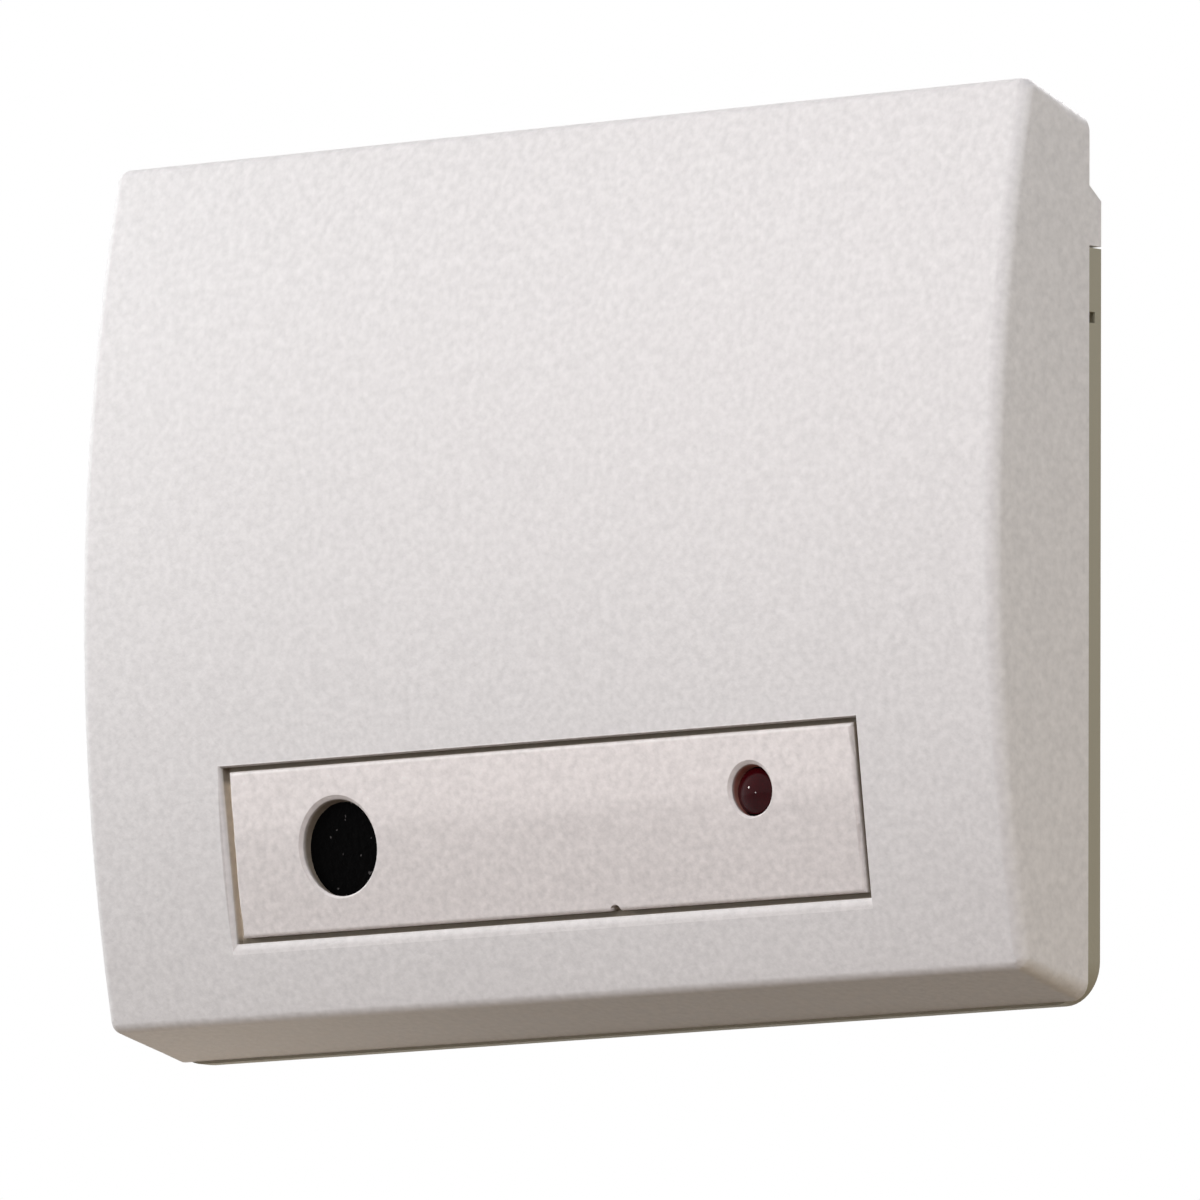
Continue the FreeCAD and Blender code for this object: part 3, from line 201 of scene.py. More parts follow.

# What the painted shade does to the colour: warmer in the seam, and redder in the lamp's hole
LAMP_HOLE, LAMP_HOLE_REACH = (24.9 * MM, -20.3 * MM), 2.85 * MM
SEAM_SHADE_TINT, LAMP_HOLE_SHADE_TINT = (1.0, 0.90, 0.74, 1), (1.9, 0.9, 0.72, 1)


def seam_shade():
    """Painted shade deep in the panel's seam and holes, and a paler painted highlight on their edges.

    Kept is the share of the colour that is left where the painted shade is full.
    """
    tree, given, result = group_tree(
        "SeamShade", [("Colour", COLOUR, (0.8, 0.8, 0.8, 1)), ("Painted highlight", FLOAT, 0.12), ("Kept", FLOAT, 0.42)],
        [("Colour", COLOUR)])
    links = tree.links
    where = add(tree, "ShaderNodeTexCoord", (-1300, 0)).outputs["Object"]
    axes = add(tree, "ShaderNodeSeparateXYZ", (-1100, 0))
    links.new(where, axes.inputs[0])
    x, y, z = axes.outputs
    tilted = maths(tree, (-900, 0), "ADD", y, maths(tree, (-1000, 0), "MULTIPLY", z, PANEL_TILT))
    depth = maths(tree, (-800, 0), "ADD", tilted, -PANEL_FACE)

    def ramp(place, value, span):
        """Rises smoothly from 0 at the span's first value to 1 at its second."""
        start, end = span
        node = add(tree, "ShaderNodeMapRange", place, interpolation_type="SMOOTHSTEP")
        links.new(value, node.inputs["Value"])
        node.inputs["From Min"].default_value = start
        node.inputs["From Max"].default_value = end
        return node.outputs[0]

    wide = maths(tree, (-700, -300), "LESS_THAN", maths(tree, (-800, -300), "ABSOLUTE", x),
                 RECESS_HALF_WIDTH)
    off_middle = maths(tree, (-800, -450), "ABSOLUTE", maths(
        tree, (-900, -450), "SUBTRACT", z, RECESS_Z))
    high = maths(tree, (-700, -450), "LESS_THAN", off_middle, RECESS_HALF_HEIGHT)
    inside = maths(tree, (-500, -300), "MULTIPLY", wide, high)
    # Painted shade: the colour darkens with depth inside the recess, where the seam and holes lie in shade
    deep = maths(tree, (-300, 0), "MULTIPLY", inside, ramp((-600, 0), depth, SHADE_DEPTHS))
    # Painted highlight: the colour is made paler on the seam's and holes' edges
    rim = maths(tree, (-300, 200), "MULTIPLY", ramp((-600, 200), depth, HIGHLIGHT_STARTS),
                maths(tree, (-450, 200), "SUBTRACT", 1.0, ramp((-600, 350), depth, HIGHLIGHT_ENDS)))
    rim = maths(tree, (-200, 200), "MULTIPLY", rim, inside)
    from_lamp = add(tree, "ShaderNodeCombineXYZ", (-850, -900))
    for index, (value, at) in enumerate(zip((x, z), LAMP_HOLE)):
        links.new(maths(tree, (-1000, -900), "SUBTRACT", value, at), from_lamp.inputs[index])
    away = add(tree, "ShaderNodeVectorMath", (-700, -900), operation="LENGTH")
    links.new(from_lamp.outputs[0], away.inputs[0])
    lamp_hole = maths(tree, (-550, -900), "LESS_THAN", away.outputs["Value"], LAMP_HOLE_REACH)
    wide_groove = maths(tree, (-500, -700), "MULTIPLY", ramp((-700, -600), x, GROOVE_FADE_X),
                        ramp((-700, -800), off_middle, GROOVE_FADE_Z))
    kept = maths(tree, (-300, -300), "MAXIMUM", given.outputs["Kept"],
                 maths(tree, (-400, -500), "MULTIPLY", wide_groove, GROOVE_KEPT))
    # Painted shade colour: the tinted share of the colour that is kept where the seam is deep
    shade = add(tree, "ShaderNodeVectorMath", (150, -100), operation="SCALE")
    links.new(mix_colour(tree, (0, -200), lamp_hole, SEAM_SHADE_TINT, LAMP_HOLE_SHADE_TINT), shade.inputs[0])
    links.new(kept, shade.inputs["Scale"])
    tone = mix_colour(tree, (300, 0), deep, (1, 1, 1, 1), shade.outputs[0])
    # The painted edge highlight raises the colour where the rim mask is
    paler = add(tree, "ShaderNodeVectorMath", (300, 200), operation="SCALE")
    links.new(given.outputs["Colour"], paler.inputs[0])
    links.new(maths(tree, (100, 200), "ADD", 1.0, maths(
        tree, (0, 200), "MULTIPLY", rim, given.outputs["Painted highlight"])), paler.inputs["Scale"])
    links.new(mix_colour(tree, (500, 0), 1.0, paler.outputs[0], tone, "MULTIPLY"), result.inputs["Colour"])
    return tree


GRAIN = moulded_grain()
WEAR = metal_wear()
SEAM = seam_shade()


def material(name):
    """A bare material, its tree and its Principled shader."""
    made = bpy.data.materials.new(name)
    made.use_nodes = True
    tree = made.node_tree
    return made, tree, tree.nodes["Principled BSDF"]


def bump(tree, shader, height, depth):
    """Feeds a height into the shader's Normal through a Bump node of that depth in metres."""
    node = add(tree, "ShaderNodeBump", (-250, -300))
    node.inputs["Distance"].default_value = depth
    node.inputs["Strength"].default_value = 1.0
    tree.links.new(height, node.inputs["Height"])
    tree.links.new(node.outputs[0], shader.inputs["Normal"])


def grained(name, colour, roughness, depth, per_metre, fleck, drift, specular, seam=False):
    """A grained plastic, rubber, ceramic or board, with its own values for the grain group.

    The depth is in metres.
    """
    made, tree, shader = material(name)
    grain = add(tree, "ShaderNodeGroup", (-550, 0), node_tree=GRAIN)
    for label, value in (("Colour", (*colour, 1)), ("Fleck", fleck), ("Drift", drift),
                         ("Roughness", roughness), ("Grain per metre", per_metre)):
        grain.inputs[label].default_value = value
    tone = grain.outputs["Colour"]
    # The seam group paints shade into the seam and holes, and a paler highlight on their edges
    if seam:
        shade = add(tree, "ShaderNodeGroup", (-300, 150), node_tree=SEAM)
        tree.links.new(tone, shade.inputs["Colour"])
        tone = shade.outputs["Colour"]
    tree.links.new(tone, shader.inputs["Base Color"])
    tree.links.new(grain.outputs["Roughness"], shader.inputs["Roughness"])
    bump(tree, shader, grain.outputs["Height"], depth)
    shader.inputs["Specular IOR Level"].default_value = specular
    return made


LINES_PER_METRE, LINE_DEPTH = 1800.0, 0.004 * MM


def worn_metal(name, colour, dull, roughness):
    """A metal with its own values for the wear group."""
    made, tree, shader = material(name)
    wear = add(tree, "ShaderNodeGroup", (-550, 0), node_tree=WEAR)
    for label, value in (("Colour", (*colour, 1)), ("Dull colour", (*dull, 1)),
                         ("Roughness", roughness), ("Lines per metre", LINES_PER_METRE)):
        wear.inputs[label].default_value = value
    tree.links.new(wear.outputs["Colour"], shader.inputs["Base Color"])
    tree.links.new(wear.outputs["Roughness"], shader.inputs["Roughness"])
    bump(tree, shader, wear.outputs["Height"], LINE_DEPTH)
    shader.inputs["Metallic"].default_value = 1.0
    return made


# Name, colour, roughness, depth of grain, grains per metre, fleck, drift, specular level, seam's painted
# shade
COVER = grained("CoverPlastic", (0.84, 0.82, 0.82), 0.55, 0.000032, 1400.0, 0.32, 0.02, 0.35, True)
PANEL = grained("PanelPlastic", (0.83, 0.785, 0.775), 0.55, 0.000032, 1400.0, 0.42, 0.02, 0.35, True)
BASE = grained("BasePlastic", (0.41, 0.385, 0.30), 0.60, 0.000020, 2600.0, 0.06, 0.04, 0.35)
RUBBER = grained("BootRubber", (0.025, 0.025, 0.027), 0.75, 0.000020, 4200.0, 0.25, 0.2, 0.3)
BLOCK = grained("TerminalGreen", (0.06, 0.25, 0.13), 0.45, 0.000008, 6000.0, 0.2, 0.08, 0.5)
RELAY = grained("RelayCream", (0.80, 0.76, 0.66), 0.35, 0.000005, 5000.0, 0.06, 0.04, 0.5)
CHIP = grained("ChipBlack", (0.032, 0.032, 0.036), 0.62, 0.000010, 9000.0, 0.3, 0.15, 0.4)
CERAMIC = grained("CapacitorTan", (0.52, 0.37, 0.22), 0.5, 0.000008, 7000.0, 0.25, 0.15, 0.4)
PLUNGER = grained("PlungerWhite", (0.86, 0.86, 0.83), 0.35, 0.000004, 5000.0, 0.03, 0.02, 0.5)
BOARD = grained("BoardLaminate", (0.03, 0.20, 0.09), 0.35, 0.000006, 3500.0, 0.2, 0.10, 0.5)
TRACK = grained("MaskedCopper", (0.06, 0.30, 0.14), 0.32, 0.000006, 3500.0, 0.2, 0.10, 0.5)
PRINT = grained("PrintedOutline", (0.80, 0.80, 0.76), 0.5, 0.000004, 5000.0, 0.15, 0.10, 0.4)

# Name, colour, dull colour, roughness
TINNED = worn_metal("TinnedMetal", (0.78, 0.77, 0.75), (0.60, 0.59, 0.56), 0.32)
CAN = worn_metal("CanAluminium", (0.82, 0.82, 0.83), (0.66, 0.66, 0.67), 0.28)
GOLD = worn_metal("PinGold", (0.86, 0.66, 0.30), (0.68, 0.50, 0.24), 0.26)
ZINC = worn_metal("ScrewZinc", (0.70, 0.71, 0.73), (0.52, 0.53, 0.55), 0.34)
SOLDER = worn_metal("Solder", (0.80, 0.80, 0.80), (0.62, 0.62, 0.60), 0.22)


CELLS_PER_METRE, FUZZ_PER_METRE, FIBRES_PER_METRE = 1500.0, 4000.0, 1500.0
FIBRES_ABOVE, FELT_DEPTH = 0.715, 0.15 * MM


def felt():
    """Black needled felt with a few pale fibres caught in it."""
    made, tree, shader = material("BlackFelt")
    where = add(tree, "ShaderNodeTexCoord", (-1100, 0)).outputs["Object"]
    cells = add(tree, "ShaderNodeTexVoronoi", (-800, 0))
    tree.links.new(where, cells.inputs["Vector"])
    cells.inputs["Scale"].default_value = CELLS_PER_METRE
    fuzz = noise_of(tree, (-800, -300), where, FUZZ_PER_METRE, 3.0, 0.6)
    fibres = noise_of(tree, (-800, 200), where, FIBRES_PER_METRE, 1.0)
    specks = maths(tree, (-500, 100), "GREATER_THAN", fibres, FIBRES_ABOVE)
    shade = mix_colour(tree, (-400, 200), fuzz, (0.0004, 0.0004, 0.0004, 1), (0.0028, 0.0027, 0.0028, 1))
    tree.links.new(mix_colour(tree, (-200, 200), specks, shade, (0.085, 0.08, 0.08, 1)),
                   shader.inputs["Base Color"])
    height = maths(tree, (-500, -200), "ADD", cells.outputs["Distance"], fuzz)
    bump(tree, shader, height, FELT_DEPTH)
    shader.inputs["Roughness"].default_value = 0.95
    shader.inputs["Specular IOR Level"].default_value = 0.05
    return made


def lens_glass():
    """Dark red resin, a little denser in streaks where it was cast."""
    made, tree, shader = material("RedLens")
    where = add(tree, "ShaderNodeTexCoord", (-900, 0)).outputs["Object"]
    streaks = noise_of(tree, (-700, 0), where, 900.0, 2.0)
    red = mix_colour(tree, (-400, 0), streaks, (0.028, 0.0006, 0.002, 1), (0.060, 0.0012, 0.004, 1))
    tree.links.new(red, shader.inputs["Base Color"])
    shader.inputs["Roughness"].default_value = 0.05
    shader.inputs["IOR"].default_value = 1.5
    shader.inputs["Specular IOR Level"].default_value = 0.09
    shader.inputs["Transmission Weight"].default_value = 0.12
    return made


FELT, LENS = felt(), lens_glass()
FINISHES = {
    "front_cover": COVER, "front_panel": PANEL, "base_plate": BASE, "circuit_board": BOARD,
    "microphone_capsule": TINNED, "microphone_boot": RUBBER, "led_leads": TINNED,
    "terminal_block": BLOCK, "terminal_clamps": TINNED, "terminal_screws": TINNED,
    "alarm_relay": RELAY, "processor_chip": CHIP, "amplifier_chip": CHIP, "voltage_regulator": CHIP,
    "crystal": TINNED, "filter_capacitors": CAN, "resistors": CHIP, "ceramic_capacitors": CERAMIC,
    "surge_diodes": CHIP, "jumper_header": CHIP, "jumper_pins": GOLD, "jumper_cap": CHIP,
    "tamper_switch": CHIP, "tamper_plunger": PLUNGER, "board_screws": ZINC, "microphone_screen": FELT,
}
for node_name, finish in FINISHES.items():
    data = NODES[node_name].data
    data.materials.clear()
    data.materials.append(finish)


def piece_of(name, mesh, finish, body, replaced=()):
    """An object made of the bmesh, with its finish and body, and the nodes that it replaces hidden."""
    data = bpy.data.meshes.new(name)
    bmesh.ops.recalc_face_normals(mesh, faces=mesh.faces)
    mesh.to_mesh(data)
    mesh.free()
    data.materials.append(finish)
    made = bpy.data.objects.new(name, data)
    bpy.context.scene.collection.objects.link(made)
    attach(made, body)
    if replaced:
        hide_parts(*replaced)
    return made


def smooth(obj, degrees):
    """Smooth shading, with sharp edges past that angle."""
    obj.data.shade_smooth()
    obj.data.set_sharp_from_angle(angle=math.radians(degrees))


# Faces within the first angle are one flat region, and within the second share their normals.
# A region smaller than a sliver leads none.
FLAT_ANGLE, EDGE_ANGLE = math.radians(0.6), math.radians(35)
SLIVER = 0.03 * MM ** 2


def flat_area(mesh):
    """For each face, the area of the flat region round it."""
    area = {}
    for seed in mesh.faces:
        if seed in area:
            continue
        region, waiting = {seed}, [seed]
        while waiting:
            for edge in waiting.pop().edges:
                for face in edge.link_faces:
                    if face in region or face in area:
                        continue
                    if face.normal.angle(seed.normal, 4) < FLAT_ANGLE:
                        region.add(face)
                        waiting.append(face)
        total = sum(face.calc_area() for face in region)
        area.update((face, total) for face in region)
    return area


def even_normals(mesh):
    """Corner normals led by the largest flat regions, with slivers shaded as their neighbours."""
    area = flat_area(mesh)
    normals = []
    for face in mesh.faces:
        main = face
        for _ in range(3):
            if area[main] < SLIVER:
                near = [other for edge in main.edges for other in edge.link_faces]
                main = max(near, key=lambda other: area[other])
        for corner in face.loops:
            near = [other for other in corner.vert.link_faces
                    if area[other] >= SLIVER and other.normal.angle(main.normal, 4) < EDGE_ANGLE]
            own_share = main.normal * area[main] * 0.001
            normals.append(sum((other.normal * area[other] for other in near), own_share).normalized())
    return normals


def moulded_copy(name, node, finish):
    """A merged copy of a moulded node, shaded by its large faces."""
    mesh = bmesh.new()
    mesh.from_mesh(NODES[node].data)
    bmesh.ops.remove_doubles(mesh, verts=mesh.verts, dist=0.002 * MM)
    bmesh.ops.dissolve_degenerate(mesh, edges=mesh.edges, dist=0.004 * MM)
    bmesh.ops.recalc_face_normals(mesh, faces=mesh.faces)
    mesh.normal_update()
    normals = even_normals(mesh)
    made = piece_of(name, mesh, finish, "housing", [node])
    made.data.shade_smooth()
    made.data.normals_split_custom_set(normals)
    return made


def turned(outline, x, z, steps=32):
    """A profile of (radius, y) points turned about the axis that points out of the wall at (x, z)."""
    mesh = bmesh.new()
    points = [mesh.verts.new((x + radius, y, z)) for radius, y in outline]
    edges = [mesh.edges.new(pair) for pair in zip(points, points[1:])]
    bmesh.ops.spin(mesh, geom=points + edges, cent=(x, 0, z), axis=(0, 1, 0), angle=math.tau,
                   steps=steps, use_merge=True)
    bmesh.ops.remove_doubles(mesh, verts=mesh.verts, dist=0.0005 * MM)
    bmesh.ops.recalc_face_normals(mesh, faces=mesh.faces)
    return mesh


def add_box(mesh, low, high):
    """A box between two corners, added to the bmesh."""
    low, high = Vector(low), Vector(high)
    size = Matrix.Diagonal((*(high - low), 1))
    bmesh.ops.create_cube(mesh, size=1, matrix=Matrix.Translation((low + high) / 2) @ size)


def join(meshes):
    """One bmesh that holds all of them."""
    whole = bmesh.new()
    for mesh in meshes:
        data = bpy.data.meshes.new("joined")
        mesh.to_mesh(data)
        mesh.free()
        whole.from_mesh(data)
        bpy.data.meshes.remove(data)
    return whole


def carve(mesh, tool):
    """The first bmesh less the second, cut by a Boolean modifier on an object that is then removed."""
    made = []
    for part in (mesh, tool):
        data = bpy.data.meshes.new("carved")
        part.to_mesh(data)
        part.free()
        made.append(bpy.data.objects.new("carved", data))
        bpy.context.scene.collection.objects.link(made[-1])
    cut = made[0].modifiers.new("Cut", "BOOLEAN")
    cut.operation = "DIFFERENCE"
    cut.solver = "EXACT"
    cut.object = made[1]
    view = bpy.context.evaluated_depsgraph_get()
    data = bpy.data.meshes.new_from_object(made[0].evaluated_get(view))
    result = bmesh.new()
    result.from_mesh(data)
    bpy.data.meshes.remove(data)
    for obj in made:
        bpy.data.meshes.remove(obj.data)
    return result


# The moulded cover, its panel and the plate behind it
moulded_copy("cover_shell", "front_cover", COVER)
moulded_copy("panel_insert", "front_panel", PANEL)
moulded_copy("wall_plate", "base_plate", BASE)

# Indicator lamp: a tinted resin lens with its metal cup inside
lamp_low, lamp_high = (Vector(v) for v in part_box("led_lamp"))
LAMP_X = (lamp_low.x + lamp_high.x) / 2
LAMP_Z = (lamp_low.z + lamp_high.z) / 2
LENS_RADIUS = 2.05 * MM
LENS_FLANGE = 2.4 * MM
LENS_CROWN = 0.75 * MM
LENS_CURVE = (LENS_RADIUS ** 2 + LENS_CROWN ** 2) / (2 * LENS_CROWN)
FLANGE_DEEP = 1.0 * MM
CUP_DEEP = 3.2 * MM
CUP_POST = 0.3 * MM


def lens():
    """The lamp's body: flange, barrel and shallow dome."""
    front, back = lamp_low.y, lamp_high.y
    dome_y = front + LENS_CURVE
    soft = 0.1 * MM
    outline = [(0.0, back), (LENS_FLANGE - soft, back), (LENS_FLANGE, back - soft),
               (LENS_FLANGE, back - FLANGE_DEEP + soft), (LENS_FLANGE - soft, back - FLANGE_DEEP),
               (LENS_RADIUS, back - FLANGE_DEEP)]
    rim, steps = math.asin(LENS_RADIUS / LENS_CURVE), 16
    outline += [(LENS_CURVE * math.sin(a), dome_y - LENS_CURVE * math.cos(a))
                for a in (rim * (1 - i / steps) for i in range(steps))]
    outline.append((0.0, front))
    return turned(outline, LAMP_X, LAMP_Z, 64)


def cup():
    """The metal cup and its post inside the resin."""
    rim_y, foot_y = lamp_low.y + CUP_DEEP, lamp_high.y - 0.2 * MM
    outline = [(0.0, rim_y + 0.5 * MM), (0.35 * MM, rim_y + 0.5 * MM), (0.75 * MM, rim_y),
               (0.9 * MM, rim_y), (0.6 * MM, rim_y + 0.9 * MM), (CUP_POST, rim_y + 1.1 * MM),
               (CUP_POST, foot_y), (0.0, foot_y)]
    return turned(outline, LAMP_X, LAMP_Z, 24)


smooth(piece_of("indicator_lens", lens(), LENS, "housing", ["led_lamp"]), 40)
smooth(piece_of("indicator_cup", cup(), TINNED, "housing"), 40)

# Places on the board, in millimetres: x and z
POLE_PITCH = 3.5
POLES = [(number - 3.5) * POLE_PITCH for number in range(8)]
POLE_Z = 12.05
SWITCH_AT = (40.0, -2.95)
CAPSULE_AT = (-23.9, -22.9)
RELAY_AT = (-33.0, 8.05)
CRYSTAL_AT = (0.0, -14.95)
LAMP_AT = (24.9, -20.04)
JUMPER_AT = (12.0, -13.95)
CAPACITORS = [(17.5, -3.95), (25.5, -3.95)]

# The wiring block's two rows of pins, and the other parts' pins about each part's place, also in mm
PIN_ROWS = (11.2, 14.4)
PINS = [
    (RELAY_AT, (-4.6, -1.4, 1.8, 4.6), (-2.7, 2.7)),
    (CRYSTAL_AT, (-2.44, 2.44), (0.0,)),
    (LAMP_AT, (-1.27, 1.27), (0.0,)),
    (JUMPER_AT, (-2.54, 0.0, 2.54), (0.0,)),
    (CAPSULE_AT, (-1.27, 1.27), (0.0,)),
    (SWITCH_AT, (-2.5, 2.5), (-2.25, 2.25)),
]

# The board's two faces, as y
BOARD_BACK, BOARD_FRONT = -3.15 * MM, -4.75 * MM


CLAMP_HEAD_RADIUS, CLAMP_HEAD_EDGE = 1.17 * MM, 0.18 * MM
SLOT_HALF_WIDTH, SLOT_DEEP = 0.2 * MM, 0.42 * MM
MOST_SLOT_TURN = 1.2


def clamp_screws():
    """Slotted screws of the terminal block, each turned with a domed head and a cut slot."""
    low, high = (Vector(v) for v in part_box("terminal_screws"))
    heads = []
    radius, edge = CLAMP_HEAD_RADIUS, CLAMP_HEAD_EDGE
    for pole in POLES:
        x = pole * MM
        outline = [(0.0, high.y), (radius, high.y), (radius, low.y + 2 * edge),
                   (radius - 0.4 * edge, low.y + 0.8 * edge), (radius - edge, low.y + 0.25 * edge),
                   (radius / 2, low.y), (0.0, low.y)]
        tool = bmesh.new()
        add_box(tool, (x - 2 * radius, low.y - radius, POLE_Z * MM - SLOT_HALF_WIDTH),
                (x + 2 * radius, low.y + SLOT_DEEP, POLE_Z * MM + SLOT_HALF_WIDTH))
        head = carve(turned(outline, x, POLE_Z * MM, 28), tool)
        slot_turn = SLOT_TURNS.uniform(-MOST_SLOT_TURN, MOST_SLOT_TURN)
        bmesh.ops.rotate(head, verts=head.verts, cent=(x, 0, POLE_Z * MM),
                         matrix=Matrix.Rotation(slot_turn, 3, "Y"))
        heads.append(head)
    smooth(piece_of("clamp_screw_heads", join(heads), ZINC, "housing",
                    ["terminal_screws"]), 30)


PAN_HEAD_RADIUS, PAN_HEAD_HEIGHT = 1.9 * MM, 1.3 * MM
THREAD_CORE, THREAD_CREST, THREAD_PITCH = 0.72 * MM, 0.95 * MM, 0.3 * MM
BLADE_TURNS = (12, 102)


def board_fasteners():
    """Pan head screws with a cross recess and a thread of rings, one at each end of the board."""
    low, high = (Vector(v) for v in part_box("board_screws"))
    seat = low.y + PAN_HEAD_HEIGHT
    z = (low.z + high.z) / 2
    screws = []
    for x in (low.x + PAN_HEAD_RADIUS, high.x - PAN_HEAD_RADIUS):
        outline = [(0.0, low.y), (0.9 * MM, low.y + 0.03 * MM), (1.45 * MM, low.y + 0.22 * MM),
                   (1.8 * MM, low.y + 0.62 * MM), (PAN_HEAD_RADIUS, low.y + 1.0 * MM),
                   (PAN_HEAD_RADIUS, seat), (0.80 * MM, seat)]
        y = seat
        while y + THREAD_PITCH < high.y - 0.5 * MM:
            outline += [(THREAD_CORE, y + 0.25 * THREAD_PITCH), (THREAD_CREST, y + 0.6 * THREAD_PITCH),
                        (THREAD_CORE, y + THREAD_PITCH)]
            y += THREAD_PITCH
        outline += [(0.5 * MM, high.y - 0.25 * MM), (0.0, high.y)]
        screw = turned(outline, x, z, 32)
        for angle in BLADE_TURNS:
            blade = bmesh.new()
            bmesh.ops.create_cone(
                blade, cap_ends=True, segments=4, radius1=1.15 * MM, radius2=0.35 * MM, depth=1.0 * MM,
                matrix=Matrix.Translation((x, low.y + 0.42 * MM, z))
                @ Matrix.Rotation(math.radians(angle), 4, "Y")
                @ Matrix.Diagonal((0.24, 1, 1, 1)) @ Matrix.Rotation(math.radians(-90), 4, "X")
                @ Matrix.Rotation(math.radians(45), 4, "Z"))
            screw = carve(screw, blade)
        screws.append(screw)
    smooth(piece_of("board_fasteners", join(screws), ZINC, "housing", ["board_screws"]), 30)


def solder_joints():
    """A solder cone and its cut lead for each through-hole pin, on the board's back."""
    places = [(pole, row) for row in PIN_ROWS for pole in POLES]
    for (x, z), across, along in PINS:
        places += [(x + dx, z + dz) for dx in across for dz in along]
    joints = []
    for x, z in places:
        size = JOINT_SIZES.uniform(0.92, 1.08) * MM
        outline = [(0.0, BOARD_BACK - 0.05 * MM), (0.9 * size, BOARD_BACK - 0.05 * MM),
                   (0.9 * size, BOARD_BACK + 0.03 * MM), (0.62 * size, BOARD_BACK + 0.14 * size),
                   (0.42 * size, BOARD_BACK + 0.34 * size), (0.3 * size, BOARD_BACK + 0.6 * size),
                   (0.24 * size, BOARD_BACK + 0.82 * size), (0.0, BOARD_BACK + 0.86 * size)]
        joints.append(turned(outline, x * MM, z * MM, 16))
    smooth(piece_of("solder_joints", join(joints), SOLDER, "housing"), 40)


def strip(mesh, y, thick, points, wide):
    """A flat strip along the points of a track, with round corners, half sunk in the board's face."""
    for (x0, z0), (x1, z1) in zip(points, points[1:]):
        long, angle = math.hypot(x1 - x0, z1 - z0), math.atan2(z1 - z0, x1 - x0)
        bmesh.ops.create_cube(mesh, size=1, matrix=(
            Matrix.Translation(((x0 + x1) / 2 * MM, y, (z0 + z1) / 2 * MM))
            @ Matrix.Rotation(-angle, 4, "Y") @ Matrix.Diagonal((long * MM, thick, wide * MM, 1))))
    for x, z in points[1:-1]:
        bmesh.ops.create_cone(mesh, cap_ends=True, segments=12, radius1=wide / 2 * MM,
                              radius2=wide / 2 * MM, depth=thick,
                              matrix=Matrix.Translation((x * MM, y, z * MM))
                              @ Matrix.Rotation(math.radians(90), 4, "X"))


# Width of each track and the points that it joins, in millimetres
BACK_TRACKS = [
    (1.2, [(-12.25, 11.2), (-12.25, 6), (-20.5, -2), (-20.5, -9), (-38, -9)]),
    (1.2, [(-8.75, 11.2), (-8.75, 4.5), (-18, -4.7), (-18, -12.5), (-38, -12.5)]),
    (0.8, [(-5.25, 11.2), (-5.25, 2.5), (-15.5, -7.8), (-15.5, -16), (-22.63, -22.9)]),
    (0.8, [(-1.75, 11.2), (-1.75, 0), (-11, -9.2), (-11, -20), (-17, -26), (-25.17, -26),
           (-25.17, -22.9)]),
    (0.8, [(1.75, 11.2), (1.75, 1), (9.46, -6.7), (9.46, -13.95)]),
    (0.8, [(5.25, 11.2), (5.25, 3), (12, -3.7), (12, -13.95)]),
    (0.8, [(8.75, 11.2), (8.75, 4.5), (14.54, -1.3), (14.54, -13.95), (23.63, -20.04)]),
    (1.0, [(12.25, 11.2), (12.25, 7), (22, -2.7), (37.5, -2.7), (37.5, -5.2)]),
    (1.6, [(-37.6, 5.35), (-41, 2), (-41, -14), (-36, -19), (-32, -19)]),
    (1.6, [(-31.2, 5.35), (-31.2, 1), (-34, -2), (-38, -2)]),
    (1.0, [(2.44, -14.95), (6, -18.5), (18, -18.5), (26.17, -20.04)]),
    (1.0, [(-2.44, -14.95), (-6, -18.5), (-6, -28), (30, -28), (42.5, -15.5), (42.5, -5.2)]),
]
FRONT_TRACKS = [
    (0.5, [(-4.5, -10.2), (-4.5, -12), (-2.44, -14.95)]),
    (0.5, [(4.5, -10.2), (4.5, -12), (2.44, -14.95)]),
    (0.5, [(-17.3, -6), (-12, -6), (-7, -1), (-5, -1)]), (0.5, [(-22.7, -10), (-26, -13), (-26, -16)]),
    (0.6, [(6, -1), (9, -4), (13.5, -4)]), (0.6, [(29.5, -4), (33, -4), (36, -5.2)]),
    (0.5, [(-29, 2), (-26, 5), (-16, 5)]), (0.6, [(-12, -20), (-8, -20), (-8, -24.5), (4, -24.5)]),
    (0.5, [(24.9, -16), (24.9, -10), (21.5, -8)]), (0.8, [(34, 11.5), (38, 11.5), (40, 9), (40, 1)]),
]

# Left, right, low and high of the outline printed round each part, in millimetres
OUTLINES = [
    (-14.9, 14.9, 8.9, 16.3), (-39.5, -26.5, 3.6, 12.6), (-6.4, 6.4, -18.1, -11.8),
    (36.3, 43.7, -6.7, 0.8), (13.7, 21.3, -7.8, -0.1), (21.7, 29.3, -7.8, -0.1),
    (-30.1, -17.7, -29.1, -16.7), (-42.1, -33.9, -13.2, -3.2),
]

# Thicknesses in metres, and the printed line's width in millimetres, as the tracks' widths are
TRACK_THICK, OUTLINE_THICK, OUTLINE_WIDE = 0.08 * MM, 0.05 * MM, 0.18


def board_artwork():
    """Copper tracks under the solder mask on both faces, and the printed outlines of the parts."""
    tracks = bmesh.new()
    for wide, points in BACK_TRACKS:
        strip(tracks, BOARD_BACK, TRACK_THICK, points, wide)
    for wide, points in FRONT_TRACKS:
        strip(tracks, BOARD_FRONT, TRACK_THICK, points, wide)
    piece_of("board_tracks", tracks, TRACK, "housing")
    printed = bmesh.new()
    for left, right, low, high in OUTLINES:
        corners = [(left, low), (right, low), (right, high), (left, high), (left, low)]
        strip(printed, BOARD_FRONT, OUTLINE_THICK, corners, OUTLINE_WIDE)
    piece_of("board_outlines", printed, PRINT, "housing")


